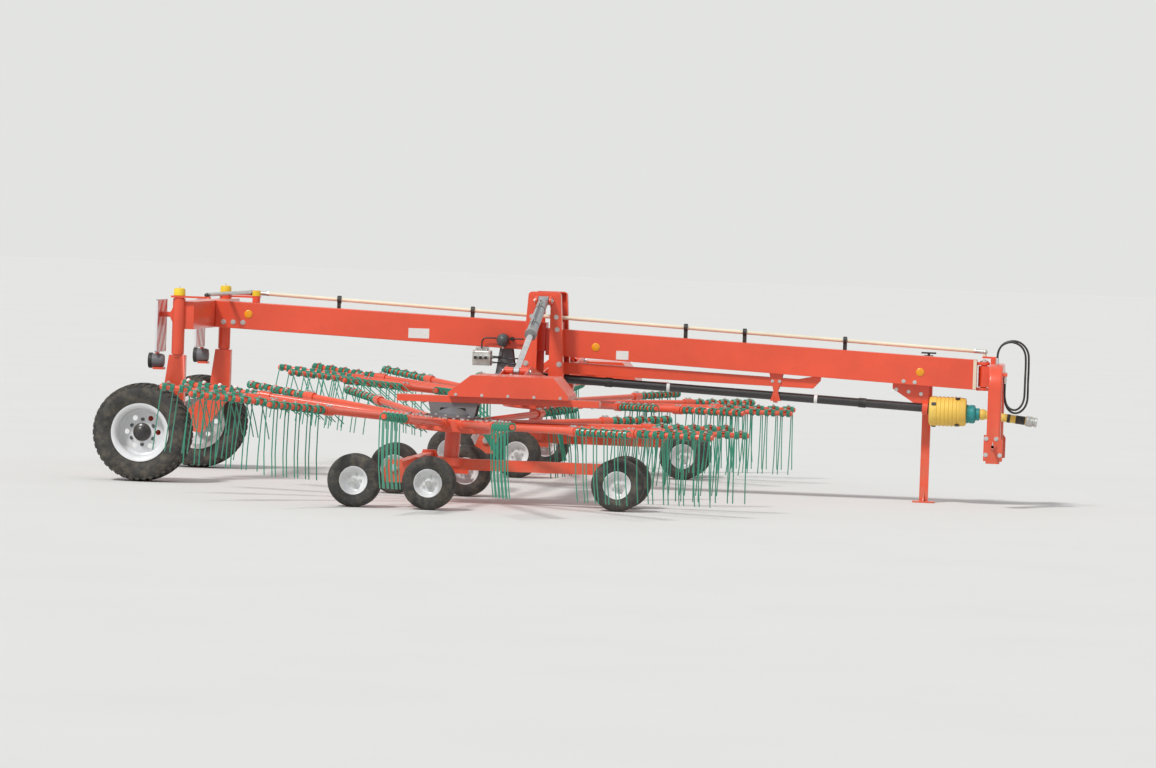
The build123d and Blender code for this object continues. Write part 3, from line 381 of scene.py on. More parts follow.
def scaled(colour, share):
    return tuple(min(1.0, c * share) for c in colour)


DUST = (0.36, 0.29, 0.19)


def painted(name, colour, roughness=0.32, coat=0.35, dusty=0.45, dust_top=1.0, grain=0.0004):
    """Paint with cloudy fading, fine scuffs, and field dust that thickens towards the ground."""
    f = Finish(name, Coat_Roughness=0.12, Specular_IOR_Level=0.5)
    cloud = f.noise(1.7, 3.0)
    scuff = f.noise(46.0, 6.0, 0.7).between(0.56, 0.72)
    low = 1 - f.z.between(0.05, dust_top)
    settled = (f.noise(9.0, 5.0, 0.65).between(0.38, 0.75) * low * dusty).between(0.0, 1.0)
    base = f.mix(cloud.between(0.3, 0.7), scaled(colour, 0.86), scaled(colour, 1.08))
    worn = f.mix(scuff * 0.25, base, scaled(colour, 0.55))
    f.set(Base_Color=f.mix(settled, worn, DUST), Roughness=roughness + scuff * 0.12 + settled * 0.4)
    if coat:
        f.set(Coat_Weight=coat * (1 - settled))
    f.bump(f.noise(210.0, 3.0), grain)
    return f.material


def bare_metal(name, colour, roughness, spread=0.15):
    """Plated or bare steel with streaks, duller where dust has settled."""
    f = Finish(name)
    streak = f.noise(14.0, 6.0, 0.7)
    dull = f.noise(3.0, 4.0).between(0.45, 0.75)
    f.set(Base_Color=f.mix(streak.between(0.3, 0.7), scaled(colour, 0.8), scaled(colour, 1.1)))
    f.set(Roughness=roughness + dull * spread, Metallic=1 - dull * 0.35)
    f.bump(f.noise(300.0, 3.0), 0.0002)
    return f.material


def moulded(name, colour, roughness=0.5, dusty=0.2):
    """Moulded plastic with a fine grain, a little faded and dusty."""
    f = Finish(name)
    fade = f.noise(4.0, 4.0).between(0.3, 0.75)
    settled = f.noise(12.0, 6.0, 0.7).between(0.5, 0.8) * dusty
    base = f.mix(fade, scaled(colour, 0.88), scaled(colour, 1.06))
    f.set(Base_Color=f.mix(settled, base, DUST), Roughness=roughness + settled * 0.3)
    f.bump(f.noise(420.0, 2.0), 0.0003)
    return f.material


def rubber(name, colour):
    """Black rubber, greyed and browned by age and dusted on the tread."""
    f = Finish(name, Specular_IOR_Level=0.35)
    age = f.noise(7.0, 5.0).between(0.3, 0.75)
    dust = f.noise(17.0, 7.0, 0.7).between(0.45, 0.8) * 0.35
    aged = tuple(c * share for c, share in zip(colour, (2.6, 2.5, 2.3)))
    f.set(Base_Color=f.mix(dust, f.mix(age, colour, aged), DUST), Roughness=0.72 + dust * 0.2)
    f.bump(f.noise(260.0, 4.0), 0.0005)
    return f.material


def striped(name, pitch):
    """Red and white stripes at 45 degrees, worked out from the distance out plus the height."""
    f = Finish(name, Coat_Roughness=0.2)
    stripe = ((abs(f.y) + f.z) / pitch).fraction() > 0.5
    fade = f.noise(6.0, 4.0).between(0.35, 0.7)
    red = f.mix(fade, (0.55, 0.03, 0.02), (0.72, 0.06, 0.035))
    white = f.mix(fade, (0.72, 0.71, 0.68), (0.85, 0.84, 0.82))
    dust = f.noise(20.0, 6.0, 0.7).between(0.5, 0.85) * 0.25
    f.set(Base_Color=f.mix(dust, f.mix(stripe, white, red), DUST), Roughness=0.35 + dust * 0.4)
    f.set(Coat_Weight=0.3 * (1 - dust))
    f.bump(f.noise(90.0, 2.0), 0.0002)
    return f.material


# Finishes: the function that makes it, its name, and the values that the function takes, in its order
FINISHES = [
    (painted, "red_paint", (0.80, 0.085, 0.032)),
    (painted, "tine_green", (0.03, 0.27, 0.17), 0.38, 0.2, 0.3, 0.35, 0.0002),
    (painted, "grey_cast", (0.16, 0.16, 0.17), 0.5, 0.0, 0.5),
    (painted, "black_paint", (0.022, 0.022, 0.024), 0.3, 0.3, 0.3),
    (painted, "cylinder_grey", (0.30, 0.305, 0.31), 0.35, 0.2, 0.3),
    (painted, "dark_steel", (0.05, 0.062, 0.07), 0.3, 0.4, 0.3, 1.6),
    (painted, "rim_silver", (0.78, 0.79, 0.80), 0.35, 0.3, 0.35, 0.8),
    # The cream finish is a painted highlight, used only on the strip at the beam's front end
    (painted, "cream_paint", (0.80, 0.74, 0.56), 0.4, 0.2, 0.2),
    (painted, "label_white", (0.80, 0.79, 0.76), 0.45, 0.1, 0.25, 1.6),
    (bare_metal, "rod_chrome", (0.72, 0.72, 0.73), 0.12, 0.08),
    (bare_metal, "zinc", (0.64, 0.64, 0.62), 0.42),
    (moulded, "guard_yellow", (0.83, 0.56, 0.10)),
    (moulded, "cap_yellow", (0.90, 0.66, 0.03), 0.4, 0.15),
    (moulded, "lamp_red", (0.50, 0.02, 0.015), 0.2, 0.1),
    (moulded, "amber", (0.90, 0.36, 0.01), 0.15, 0.05),
    (moulded, "teal", (0.02, 0.28, 0.28), 0.4, 0.1),
    (moulded, "guide_black", (0.02, 0.02, 0.02), 0.55),
    (moulded, "hose_rubber", (0.018, 0.018, 0.018), 0.45, 0.25),
    (rubber, "tyre_rubber", (0.027, 0.027, 0.027)),
    (striped, "board_red", 0.198),
]
MATERIALS = {name: make(name, *values) for make, name, *values in FINISHES}

# Every solid gets its slot's finish. The jack leg is painted red, and the accumulator is dark steel
slots = {row["node"]: row["material_slot"] for row in frame["record"]["subparts"]}
slots["jack_leg"] = "red_paint"
for node_name, node_object in frame["nodes"].items():
    node_object.data.materials.clear()
    finish = "dark_steel" if node_name == "accumulator" else slots[node_name]
    node_object.data.materials.append(MATERIALS[finish])

# Tine rotors: red arms on the hub, and green spring tines wound round the turned tine bars
WIRE_R = 0.0047
COIL_R, COIL_TURNS = 0.0275, 3.25
PAIR_HALF, BRIDGE_HALF = 0.045, 0.012
BAR_R, BAR_ROOT = 0.021, 1.59
ARM_R = 0.025
LIFTED_TURN = 70


def hub_place(side):
    """The hub's own frame, tipped forward by the rotor's tilt."""
    return Matrix.Translation((ROTOR_X, side * ROTOR_Y, ROTOR_Z)) @ turn(ROTOR_TILT, "Y")


def arm_places(hand):
    """For each arm, its matrix with +X along it, and its tine bar's. The cam turns the bar about itself
    by the most at the inner rear, and elsewhere by that times the squared cosine of the angle away."""
    side = SIDES[hand]
    for k in range(ARM_COUNT):
        angle = PHASE[hand] + 360 * k / ARM_COUNT
        away = angle - (180 + side * 45)
        lifted = LIFTED_TURN * max(0.0, cos(radians(away))) ** 2
        arm = hub_place(side) @ turn(angle, "Z") @ Matrix.Rotation(-atan2(ARM_RISE, 1), 4, "Y")
        yield arm, arm @ turn(side * lifted, "X")


def tine_pair():
    """Two legs of one wire. Each rises to a coil round the bar, point = (x, R cos t, R sin t) with x going
    steadily towards the middle, and a bridge over the bar joins the coils."""
    t = np.linspace(0, 2 * pi * COIL_TURNS, int(12 * COIL_TURNS) + 1)
    x = np.linspace(-PAIR_HALF, -BRIDGE_HALF, len(t))
    coil = np.stack([x, COIL_R * np.cos(t), COIL_R * np.sin(t)], -1)
    leg = [(-0.046, -0.022, -TINE_DROP), (-0.046, 0.004, -0.36), (-0.0455, 0.019, -0.18)]
    leg += [(-PAIR_HALF, 0.0272, -0.05)]
    wire = tube(np.concatenate([leg, coil]), WIRE_R, 5, AHEAD)
    top = COIL_R + 0.001
    bridge = [(-BRIDGE_HALF, 0.001, COIL_R), (-BRIDGE_HALF, -0.018, top), (-0.006, -0.027, top)]
    bridge += [(-a, b, c) for a, b, c in bridge[::-1]]
    return joined([wire, wire.mirrored(0), tube(bridge, WIRE_R, 5)])


arm_tube = joined([
    bar((HUB_R - 0.06, 0, 0), (BAR_ROOT + 0.01, 0, 0), ARM_R),
    turned([(0, 0.25), (0.037, 0.25), (0.037, 0.4), (0.033, 0.408), (0, 0.408)], 18, "X"),
    disc(0.036, 1.512, 1.594, 18, "X"),
])
comb = joined([
    disc(0.031, 1.598, 1.618, 18, "X"),
    turned([
        (0, BAR_ROOT), (BAR_R, BAR_ROOT), (BAR_R, 2.252), (0.016, ROTOR_R), (0, ROTOR_R),
    ], 16, "X"),
])
wound = COIL_R + WIRE_R
clips = joined(
    [block((x - 0.013, -0.03, BAR_R - 0.003), (x + 0.013, 0.012, COIL_R - WIRE_R + 0.001)) for x in PAIR_X]
    + [block((x - 0.01, -0.026, wound), (x + 0.01, 0.006, wound + 0.004)) for x in PAIR_X]
)
arm_bolts = nuts([(x, 0, 0.036) for x in (0.29, 0.36, 1.535, 1.572)], UP, 0.011, 0.011)
comb_bolts = nuts([(x, -0.01, wound + 0.004) for x in PAIR_X], UP, 0.009, 0.009)
cover_bolt = nuts([(0.262, 0, HUB_HALF)], UP, 0.011, 0.01)
hub = turned([
    (POST_R, -0.05), (0.11, -0.05), (0.12, -0.044), (0.22, -0.044), (0.24, -0.05), (0.285, -0.05),
    (HUB_R, -0.04), (HUB_R, 0.04), (0.285, HUB_HALF), (0.2, HUB_HALF), (0.185, 0.04), (POST_R, 0.04),
], 60, "Z")
for hand, side in SIDES.items():
    body = "rotor_" + hand
    arms, combs = zip(*arm_places(hand))
    red = joined([repeated(arm_tube, arms), repeated(comb, combs), hub.placed(hub_place(side))])
    piece("rotor_arms_" + hand, red, "red_paint", body, "tine_rotor_" + hand)
    spots = [m @ Matrix.Translation((x, 0, 0)) for m in combs for x in PAIR_X]
    piece("tines_" + hand, repeated(tine_pair().on(side), spots), "tine_green", body)
    piece("tine_clips_" + hand, repeated(clips, combs), "red_paint", body)
    ring = [hub_place(side) @ turn(360 * (k + 0.5) / ARM_COUNT, "Z") for k in range(ARM_COUNT)]
    bolts = joined([repeated(arm_bolts, arms), repeated(comb_bolts, combs), repeated(cover_bolt, ring)])
    piece("rotor_bolts_" + hand, bolts, "zinc", body)

# Small wheels: ribbed tyres on dished rims, turned about Y
small_tyre = turned(symmetric([
    (0.102, -0.07), (0.112, -0.075), (0.13, -0.08), (0.15, -0.0825), (0.168, -0.0805), (0.182, -0.073),
    (0.193, -0.06), (0.2, -0.046), (0.2, -0.028), (0.19, -0.024), (0.19, -0.018), (0.2, -0.014),
]), 64)
small_rim = turned(symmetric([
    (0.0125, -0.06), (0.026, -0.06), (0.028, -0.057), (0.028, -0.03), (0.06, -0.024), (0.078, -0.034),
    (0.088, -0.055), (0.1, -0.066), (0.107, -0.076), (0.104, -0.079), (0.096, -0.072), (0.094, -0.05),
]), 48)
small_fixings = joined([
    turned([(0, 0.072), (0.016, 0.071), (0.021, 0.066), (0.022, 0.05), (0, 0.05)], 20),
    nuts(circle((0.044, 0.028, 0), 5, 0), OUT, 0.0075, 0.008).both(),
])
for hand, side in SIDES.items():
    for wheel, forward, outward in SMALL_WHEELS:
        name = f"wheel_{wheel}_{hand}"
        centre = (ROTOR_X + forward, ROTOR_Y + outward, SMALL_R)
        piece("tyre_of_" + name, small_tyre.moved(centre).on(side), "tyre_rubber", name, name)
        piece("rim_of_" + name, small_rim.moved(centre).on(side), "rim_silver", name)
        piece("fixings_of_" + name, small_fixings.moved(centre).on(side), "zinc", name)

# Transport wheels: a rim with a holed dish, and a tyre with two rows of tread blocks on each shoulder
DISH_IN, DISH_OUT, DISH_WALL = 0.088, 0.168, 0.008
HOLES, HOLE_R, HOLE_RING_R, NUT_RING_R = 6, 0.021, 0.125, 0.098
TREAD_COUNT = 42


def dish_height(r):
    """How far out the dish lies: a shallow cone that falls towards the rim."""
    return 0.035 - 0.25 * (r - 0.085)


def holed_dish(steps=6):
    """A dish with a ring of round holes, made of one sector for each hole. A sector is a grid whose rows run
    from its edge over the back to the hole, and from the hole over the front to the edge again: row =
    half hole and half edge between the two. Faces between front and back shut its two arcs."""
    half = HOLE_RING_R * pi / HOLES
    across = np.linspace(-1, 1, steps + 1)[:-1]
    level = np.ones(steps)
    out, back = DISH_OUT - HOLE_RING_R, DISH_IN - HOLE_RING_R
    inwards = out + (back - out) * (across + 1) / 2
    sides = [(out * level, across * half), (inwards, half * level)]
    sides += [(back * level, -across * half), (out + back - inwards, -half * level)]
    edge = np.concatenate([np.stack(side, -1) for side in sides])
    hole = HOLE_R * edge / np.linalg.norm(edge, axis=1)[:, None]
    front = [hole, (hole + edge) / 2, edge]
    points = []
    for row, sink in [(row, DISH_WALL) for row in front[::-1]] + [(row, 0.0) for row in front]:
        r = HOLE_RING_R + row[:, 0]
        t = row[:, 1] / HOLE_RING_R
        points.append(np.stack([r * np.cos(t), dish_height(r) - sink, r * np.sin(t)], -1))
    sector = grid(np.array(points), close_cols=True)
    arc = np.r_[0:steps, 2 * steps:3 * steps]
    last = len(sector.points) - len(edge)
    sector.blocks.append(np.stack([arc, arc + 1, last + arc + 1, last + arc], -1))
    return repeated(sector, [turn(360 * k / HOLES, "Y") for k in range(HOLES)])


def crown(h):
    """Radius of the tread's face at a distance h from its middle."""
    return TYRE_R - 0.35 * np.abs(h) ** 2 - 0.9 * np.clip(np.abs(h) - 0.11, 0, 1) ** 1.5


def tread_block(low, high, lean, width, depth):
    """One block of tread over h from low to high. Its angle round the tyre is lean (h - low) plus or
    minus half its width, over the tyre's radius, and its face is narrower than its foot."""
    h = np.linspace(low, high, 5)
    lines = []
    for share, sink in ((-0.5, depth), (-0.4, 0.0), (0.4, 0.0), (0.5, depth)):
        t = (lean * (h - low) + share * width) / TYRE_R
        r = crown(h) - sink
        lines.append(np.stack([r * np.cos(t), h, r * np.sin(t)], -1))
    return grid(np.stack(lines, 1), close_cols=True, caps=True)


wheel_centre = (AXLE_X, TRACK_HALF, TYRE_R)
rim_flange = [
    (DISH_OUT, dish_height(DISH_OUT)), (0.18, 0.02), (0.186, 0.035), (0.188, 0.06), (0.19, 0.115),
    (0.2, 0.128), (0.212, 0.136), (0.226, 0.14), (0.232, 0.147), (0.231, 0.153), (0.222, 0.151),
    (0.208, 0.146), (0.2, 0.138), (0.206, 0.125), (0.206, -0.138), (0.23, -0.142), (0.23, -0.15),
    (0.196, -0.148), (0.194, 0.0), (DISH_OUT, dish_height(DISH_OUT) - DISH_WALL),
]
hub_plate = [
    (0.05, -0.06), (0.072, -0.055), (0.072, 0.02), (DISH_IN, dish_height(DISH_IN) - DISH_WALL),
    (DISH_IN, dish_height(DISH_IN)), (0.072, 0.04), (0.05, 0.04),
]
hub_cap = turned([
    (0, 0.108), (0.03, 0.107), (0.04, 0.1), (0.043, 0.088), (0.045, 0.06), (0.062, 0.054), (0.072, 0.046),
    (0.073, 0.03), (0, 0.03),
], 32).moved(wheel_centre)
rim = joined([holed_dish(), turned(rim_flange, 72), turned(hub_plate, 48)]).moved(wheel_centre)
nut_places = circle((NUT_RING_R, dish_height(NUT_RING_R), 0), HOLES, 180 / HOLES)
wheel_nuts = nuts(nut_places, OUT, 0.0105, 0.016).moved(wheel_centre)
carcass = turned(symmetric([
    (0.2065, -0.136), (0.212, -0.139), (0.234, -0.145), (0.255, -0.158), (0.29, -0.167),
    (0.325, -TYRE_HALF), (0.35, -0.163), (0.367, -0.148), (0.376, -0.12), (0.379, -0.06), (0.3795, 0.0),
]), 96)
spokes, half_spokes = (
    [turn(360 * (k + start) / TREAD_COUNT, "Y") for k in range(TREAD_COUNT)] for start in (0, 0.5)
)
shoulder = tread_block(0.062, 0.158, 0.22, 0.036, 0.013)
second = tread_block(0.012, 0.054, 0.5, 0.04, 0.012)
tyre = joined([
    carcass,
    repeated(joined([shoulder, second.mirrored()]), spokes),
    repeated(joined([shoulder.mirrored(), second]), half_spokes),
]).moved(wheel_centre)
for hand, side in SIDES.items():
    body = "transport_wheel_" + hand
    piece("tread_tyre_" + hand, tyre.on(side), "tyre_rubber", body, "transport_tyre_" + hand, smooth=30)
    piece("dish_rim_" + hand, rim.on(side), "rim_silver", body, "transport_rim_" + hand)
    piece("wheel_nuts_" + hand, wheel_nuts.on(side), "dark_steel", body)
    piece("hub_cap_" + hand, hub_cap.on(side), "black_paint", body)

# Solids whose edges get a small radius: a merged copy of the mesh with a live bevel stands for each
SOFT_EDGES = {
    "main_beam_front": 0.006, "main_beam_rear": 0.006, "gantry": 0.003, "rear_axle_beam": 0.005,
    "headstock_arch": 0.003, "jack_sleeve": 0.002, "jack_leg": 0.002, "central_gearbox": 0.004,
    "swing_arm_left": 0.002, "swing_arm_right": 0.002, "rotor_chassis_left": 0.004,
    "rotor_chassis_right": 0.004, "rotor_gearbox_left": 0.004, "rotor_gearbox_right": 0.004,
    "knuckle_left": 0.005, "knuckle_right": 0.005, "steering_lever": 0.002, "shaft_hangers": 0.002,
    "valve_block": 0.003,
}

# Those with a hole through a flat face keep their triangles, as one face can't go round a hole
HOLED = {"gantry", "knuckle_left", "knuckle_right"}

for node_name, width in SOFT_EDGES.items():
    node = frame["nodes"][node_name]
    mesh = node.data.copy()
    mended(mesh, 1e-5, flatten=node_name not in HOLED)
    fitted("soft_" + node_name, mesh, node["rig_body"], [node_name], width, 40.0)

# Wide-angle guard: a ribbed yellow bell with a teal ring in front, and two rows of latches
GUARD_Z, SHAFT_Z = 0.752, 0.738
guard_profile = [(0.036, 2.84), (0.095, 2.84), (0.112, 2.846), (0.119, 2.858), (0.12, 2.885)]
for rib_x in np.arange(2.9, 3.06, 0.032):
    guard_profile += [(0.12, rib_x), (0.1145, rib_x + 0.006), (0.1145, rib_x + 0.014), (0.12, rib_x + 0.02)]
guard_profile += [
    (0.12, 3.08), (0.1135, 3.1), (0.1135, 3.122), (0.108, 3.136), (0.09, 3.14), (0.06, 3.141),
    (0.06, 3.0), (0.036, 3.0),
]
guard = turned(guard_profile, 56, "X").moved((0, 0, GUARD_Z))
piece("guard_bell", guard, "guard_yellow", "frame", "pto_guard")
guard_ring = turned([
    (0.048, 3.13), (0.07, 3.13), (0.075, 3.138), (0.075, 3.156), (0.071, 3.16), (0.071, 3.166),
    (0.075, 3.17), (0.075, 3.2), (0.066, 3.212), (0.05, 3.214), (0.05, 3.244), (0.0462, 3.246),
    (0.0462, 3.21), (0.048, 3.19),
], 48, "X").moved((0, 0, SHAFT_Z))
piece("guard_ring", guard_ring, "teal")

# Latches by their distance along the guard and their angle round it
LATCHES = [(2.88, 60), (2.88, -60), (2.88, 180), (3.07, 30), (3.07, -90), (3.07, 150)]
latch = plate([(-0.02, 0), (0.02, 0), (0.014, 0.009), (-0.014, 0.009)], -0.012, 0.012).moved((0, 0, 0.119))
spots = [Matrix.Translation((x, 0, GUARD_Z)) @ turn(angle, "X") for x, angle in LATCHES]
piece("guard_latches", repeated(latch, spots), "black_paint", bevel=0.001)

# Drive shaft to the tractor: yellow guard tube with black bands, and the splined yoke
shaft_start, shaft_end = Vector((YAW_X, 0, SHAFT_Z)), Vector((3.71, 0, 0.69))
shaft_length = (shaft_end - shaft_start).length
along_shaft = Matrix.Translation(shaft_start) @ facing(shaft_end - shaft_start, "X")
BALL_R, YOKE_LENGTH = 0.0447, 0.092
tube_end = shaft_length - YOKE_LENGTH
ball = [(BALL_R * sin(radians(t)), -BALL_R * cos(radians(t))) for t in range(0, 136, 9)]
shaft_tube = turned(ball + [(0.0325, 0.034), (0.0325, tube_end), (0, tube_end)], 32, "X")
piece("shaft_tube", shaft_tube.placed(along_shaft), "guard_yellow", "drive_shaft", "pto_shaft")
BANDS = [(0.05, 0.1), (0.2, 0.225), (0.27, 0.345)]
bands = joined([disc(0.0342, start, end, 32, "X", 0.032) for start, end in BANDS])
piece("shaft_bands", bands.placed(along_shaft), "guide_black", "drive_shaft")

# The yoke's profile: radius, and distance back from its end
YOKE = [
    (0, 0.07), (0.0175, 0.07), (0.0175, 0), (0.036, 0), (0.039, 0.004), (0.039, 0.02), (0.034, 0.024),
    (0.034, 0.034), (0.042, 0.038), (0.042, 0.085), (0.036, YOKE_LENGTH), (0, YOKE_LENGTH),
]
yoke = turned([(r, shaft_length - back) for r, back in YOKE], 40, "X")
piece("shaft_yoke", yoke.placed(along_shaft), "zinc", "drive_shaft")

# Bands and sleeves round the black drive tube
TUBE_REAR, TUBE_FRONT = np.array((-0.51, 0, 0.915)), np.array((2.84, 0, 0.773))


def on_tube(x0, x1, radius):
    """A ring round the drive tube between two places, its middle on the line between the tube's ends."""
    run = TUBE_FRONT - TUBE_REAR
    middle = TUBE_REAR + run * ((x0 + x1) / 2 - TUBE_REAR[0]) / run[0]
    half = (x1 - x0) / 2
    return disc(radius, -half, half, 32, "X", 0.034).placed(Matrix.Translation(middle) @ facing(run, "X"))


white_bands = joined([on_tube(x - 0.013, x + 0.013, 0.0372) for x in (0.726, 1.923)])
piece("tube_bands", white_bands, "label_white")
black_sleeves = [on_tube(x - 0.03, x + 0.03, 0.039) for x in (0.24, 2.3)] + [on_tube(2.79, 2.838, 0.047)]
piece("tube_sleeves", joined(black_sleeves), "guide_black")

# Reflectors on the beam by x and z, and blank labels by x, z, half length and half height
REFLECTORS = [(2.761, 1.063), (0.133, 1.166), (-2.716, 1.33)]
LABELS = [(-1.313, 1.225, 0.085, 0.04), (0.351, 1.108, 0.05, 0.035)]
reflector = turned(
    [(0, 0.009), (0.024, 0.0085), (0.03, 0.006), (0.0335, 0.003), (0.0335, -0.002), (0, -0.002)], 28
)
reflectors = joined([reflector.moved((x, BEAM_HALF, z)) for x, z in REFLECTORS])
piece("beam_reflectors", reflectors.both(), "amber")
labels = joined([
    block((x - long, BEAM_HALF, z - high), (x + long, BEAM_HALF + 0.0012, z + high))
    for x, z, long, high in LABELS
])
piece("blank_labels", labels.both(), "label_white")
# A cream strip at the beam's front end: a painted highlight that stands for the sunlit edge of the end
# flange
strip = block((3.186, BEAM_HALF, 0.94), (3.212, BEAM_HALF + 0.0015, 1.175))
piece("end_highlight_strip", strip.both(), "cream_paint")

# Yellow caps on the kingpins and on the centre lever, and a grease nipple on each kingpin's
CAP_Z, CAP_HEIGHT = 1.4765, 0.062
LEVER_X, LEVER_CAP_Z = -2.67, 1.4775
yellow_cap = turned([
    (0, CAP_HEIGHT), (0.03, 0.061), (0.041, 0.056), (0.046, 0.046), (0.047, 0.002), (0.04, 0), (0, 0),
], 36, "Z")
nipple = turned([
    (0, 0.016), (0.003, 0.015), (0.0035, 0.011), (0.0025, 0.009), (0.005, 0.006), (0.005, 0), (0, 0),
], 12, "Z")
for hand, side in SIDES.items():
    place = np.array((KINGPIN_X, side * KINGPIN_Y, CAP_Z))
    piece("kingpin_cap_" + hand, yellow_cap.moved(place), "cap_yellow", "knuckle_" + hand)
    piece("kingpin_nipple_" + hand, nipple.moved(place + (0, 0, CAP_HEIGHT)), "zinc", "knuckle_" + hand)
centre_cap = turned([(0, 0.046), (0.028, 0.045), (0.034, 0.038), (0.0345, 0), (0, 0)], 32, "Z")
piece("centre_cap", centre_cap.moved((LEVER_X, 0, LEVER_CAP_Z)), "cap_yellow", "steering_lever")

# Rear lamps: grey housing, black-ringed lens and red foot
LAMP_X, LAMP_Y, LAMP_Z = -3.35, 1.035, 0.952
lamp_housing = turned(
    [(0, 0), (0.05, 0), (0.056, 0.006), (0.056, 0.075), (0.048, 0.098), (0.03, 0.1), (0, 0.1)], 36, "X"
)
lamp_ring = turned(
    [(0.052, -0.002), (0.058, -0.004), (0.062, 0), (0.062, 0.024), (0.055, 0.026), (0.052, 0.02)], 36, "X"
)
lamp_lens = turned(
    [(0, -0.006), (0.03, -0.005), (0.045, -0.001), (0.0525, 0.005), (0.0525, 0.012), (0, 0.012)], 36, "X"
)
lamp_foot = joined([
    block((-3.312, LAMP_Y - 0.045, 0.882), (-3.225, LAMP_Y + 0.045, 0.9)),
    block((-3.3, LAMP_Y - 0.012, 0.9), (-3.27, LAMP_Y + 0.012, 1.019)),
])
housing = lamp_housing.moved((LAMP_X + 0.022, LAMP_Y, LAMP_Z))
piece("lamp_housings", housing.both(), "grey_cast", "frame", "rear_lamps")
piece("lamp_rings", lamp_ring.moved((LAMP_X + 0.002, LAMP_Y, LAMP_Z)).both(), "guide_black")
piece("lamp_lenses", lamp_lens.moved((LAMP_X + 0.008, LAMP_Y, LAMP_Z)).both(), "lamp_red")
piece("lamp_feet", lamp_foot.both(), "red_paint")

# Hoses that hang in front of the headstock: smooth curves through the middles of the solid ones
HOSE_R = 0.0085
SUPPLY_ROUTE = [
    (3.376, -0.060, 1.200), (3.376, -0.060, 1.247), (3.408, -0.064, 1.309), (3.470, -0.071, 1.340),
    (3.536, -0.080, 1.340), (3.592, -0.087, 1.305), (3.626, -0.091, 1.246), (3.629, -0.092, 1.168),
    (3.630, -0.091, 1.091), (3.628, -0.094, 1.012), (3.630, -0.092, 0.934), (3.629, -0.096, 0.856),
    (3.605, -0.116, 0.799), (3.562, -0.156, 0.765), (3.516, -0.200, 0.764), (3.475, -0.238, 0.798),
    (3.452, -0.259, 0.855), (3.449, -0.262, 0.928), (3.449, -0.262, 1.000),
]
RETURN_ROUTE = [
    (3.376, -0.092, 1.200), (3.376, -0.092, 1.243), (3.404, -0.095, 1.302), (3.464, -0.103, 1.332),
    (3.520, -0.111, 1.328), (3.572, -0.120, 1.297), (3.602, -0.123, 1.242), (3.606, -0.125, 1.170),
    (3.606, -0.124, 1.097), (3.605, -0.123, 1.025), (3.605, -0.126, 0.948), (3.604, -0.127, 0.877),
    (3.584, -0.150, 0.822), (3.548, -0.188, 0.789), (3.507, -0.235, 0.792), (3.471, -0.275, 0.821),
    (3.453, -0.297, 0.878), (3.449, -0.300, 0.938), (3.449, -0.300, 1.000),
]

# Hoses: name, route and length
HOSES = [("supply", SUPPLY_ROUTE, 1.235), ("return", RETURN_ROUTE, 1.141)]

# Unions on the arch where the hoses start: a base, a hexagon and a swaged sleeve
UNION_DROP = 0.05
union = joined([
    turned([
        (0, 0.05), (0.0125, 0.05), (0.0125, 0.047), (0.0115, 0.045), (0.0125, 0.043), (0.0125, 0.018),
        (0, 0.018),
    ], 24, "Z"),
    turned([(0, 0.019), (0.0138, 0.019), (0.0148, 0.017), (0.0148, 0.004), (0, 0.004)], 6, "Z"),
    disc(0.018, 0, 0.005, 24, "Z"),
]).moved((0, 0, -UNION_DROP))
unions = joined([union.moved(route[0]) for _, route, _ in HOSES])
piece("hose_unions", unions, "zinc", "headstock", "hose_fittings")

# Couplings at the hoses' far ends: sleeve, hexagon, knurled collar and nose
coupling = turned([
    (0, 0), (0.0125, 0), (0.0125, 0.004), (0.0115, 0.006), (0.0125, 0.008), (0.0125, 0.024), (0.0135, 0.026),
    (0.0135, 0.036), (0.0128, 0.037), (0.0142, 0.039), (0.0142, 0.057), (0.0135, 0.06), (0.0109, 0.06),
    (0.0109, 0.089), (0.0095, 0.095), (0.0045, 0.095), (0.0045, 0.085), (0, 0.085),
], 28, "Z")
for line, route, length in HOSES:
    end = piece(line + "_end", coupling.moved(route[-1]), "zinc", "headstock", line + "_coupling")
    curve = bpy.data.curves.new(line + "_line", "CURVE")
    curve.dimensions = "3D"
    curve.resolution_u = 6
    curve.bevel_depth = HOSE_R
    curve.bevel_resolution = 5
    curve.use_fill_caps = True
    spline = curve.splines.new("NURBS")
    spline.points.add(len(route) - 1)
    for point, place in zip(spline.points, route):
        point.co = (*place, 1.0)
    spline.order_u = 3
    spline.use_endpoint_u = True
    curve.materials.append(MATERIALS["hose_rubber"])
    hose = fitted(line + "_line", curve, "headstock", [line + "_hose"])

# Rows of bolts that face outwards, by body: first place, last place, count, half width of the head
BOLT_ROWS = {
    "frame": [
        ((-0.42, 0.278, 0.9), (-0.13, 0.278, 0.9), 2, 0.015),
        ((-0.41, 0.278, 1.02), (-0.14, 0.278, 1.02), 2, 0.015),
        ((-0.385, 0.278, 1.3), (-0.165, 0.278, 1.3), 2, 0.013),
        ((-0.375, 0.278, 1.4), (-0.175, 0.278, 1.4), 2, 0.013),
        ((-2.76, 0.09, 1.26), (-2.92, 0.09, 1.26), 3, 0.014),
        ((-0.66, 0.16, 0.8), (-0.54, 0.16, 0.8), 3, 0.008),
        ((-0.66, 0.16, 0.9), (-0.54, 0.16, 0.9), 3, 0.008),
        ((2.63, 0.09, 0.985), (2.72, 0.09, 0.98), 2, 0.011),
        ((1.571, 0.053, 0.945), (1.629, 0.053, 0.945), 2, 0.009),
        ((2.57, 0.005, 0.915), (2.77, 0.005, 0.885), 3, 0.01),
    ],
    "headstock": [
        ((3.32, 0.4, 0.43), (3.432, 0.4, 0.43), 2, 0.012),
        ((3.32, 0.4, 0.56), (3.4, 0.4, 0.56), 2, 0.012),
    ],
}
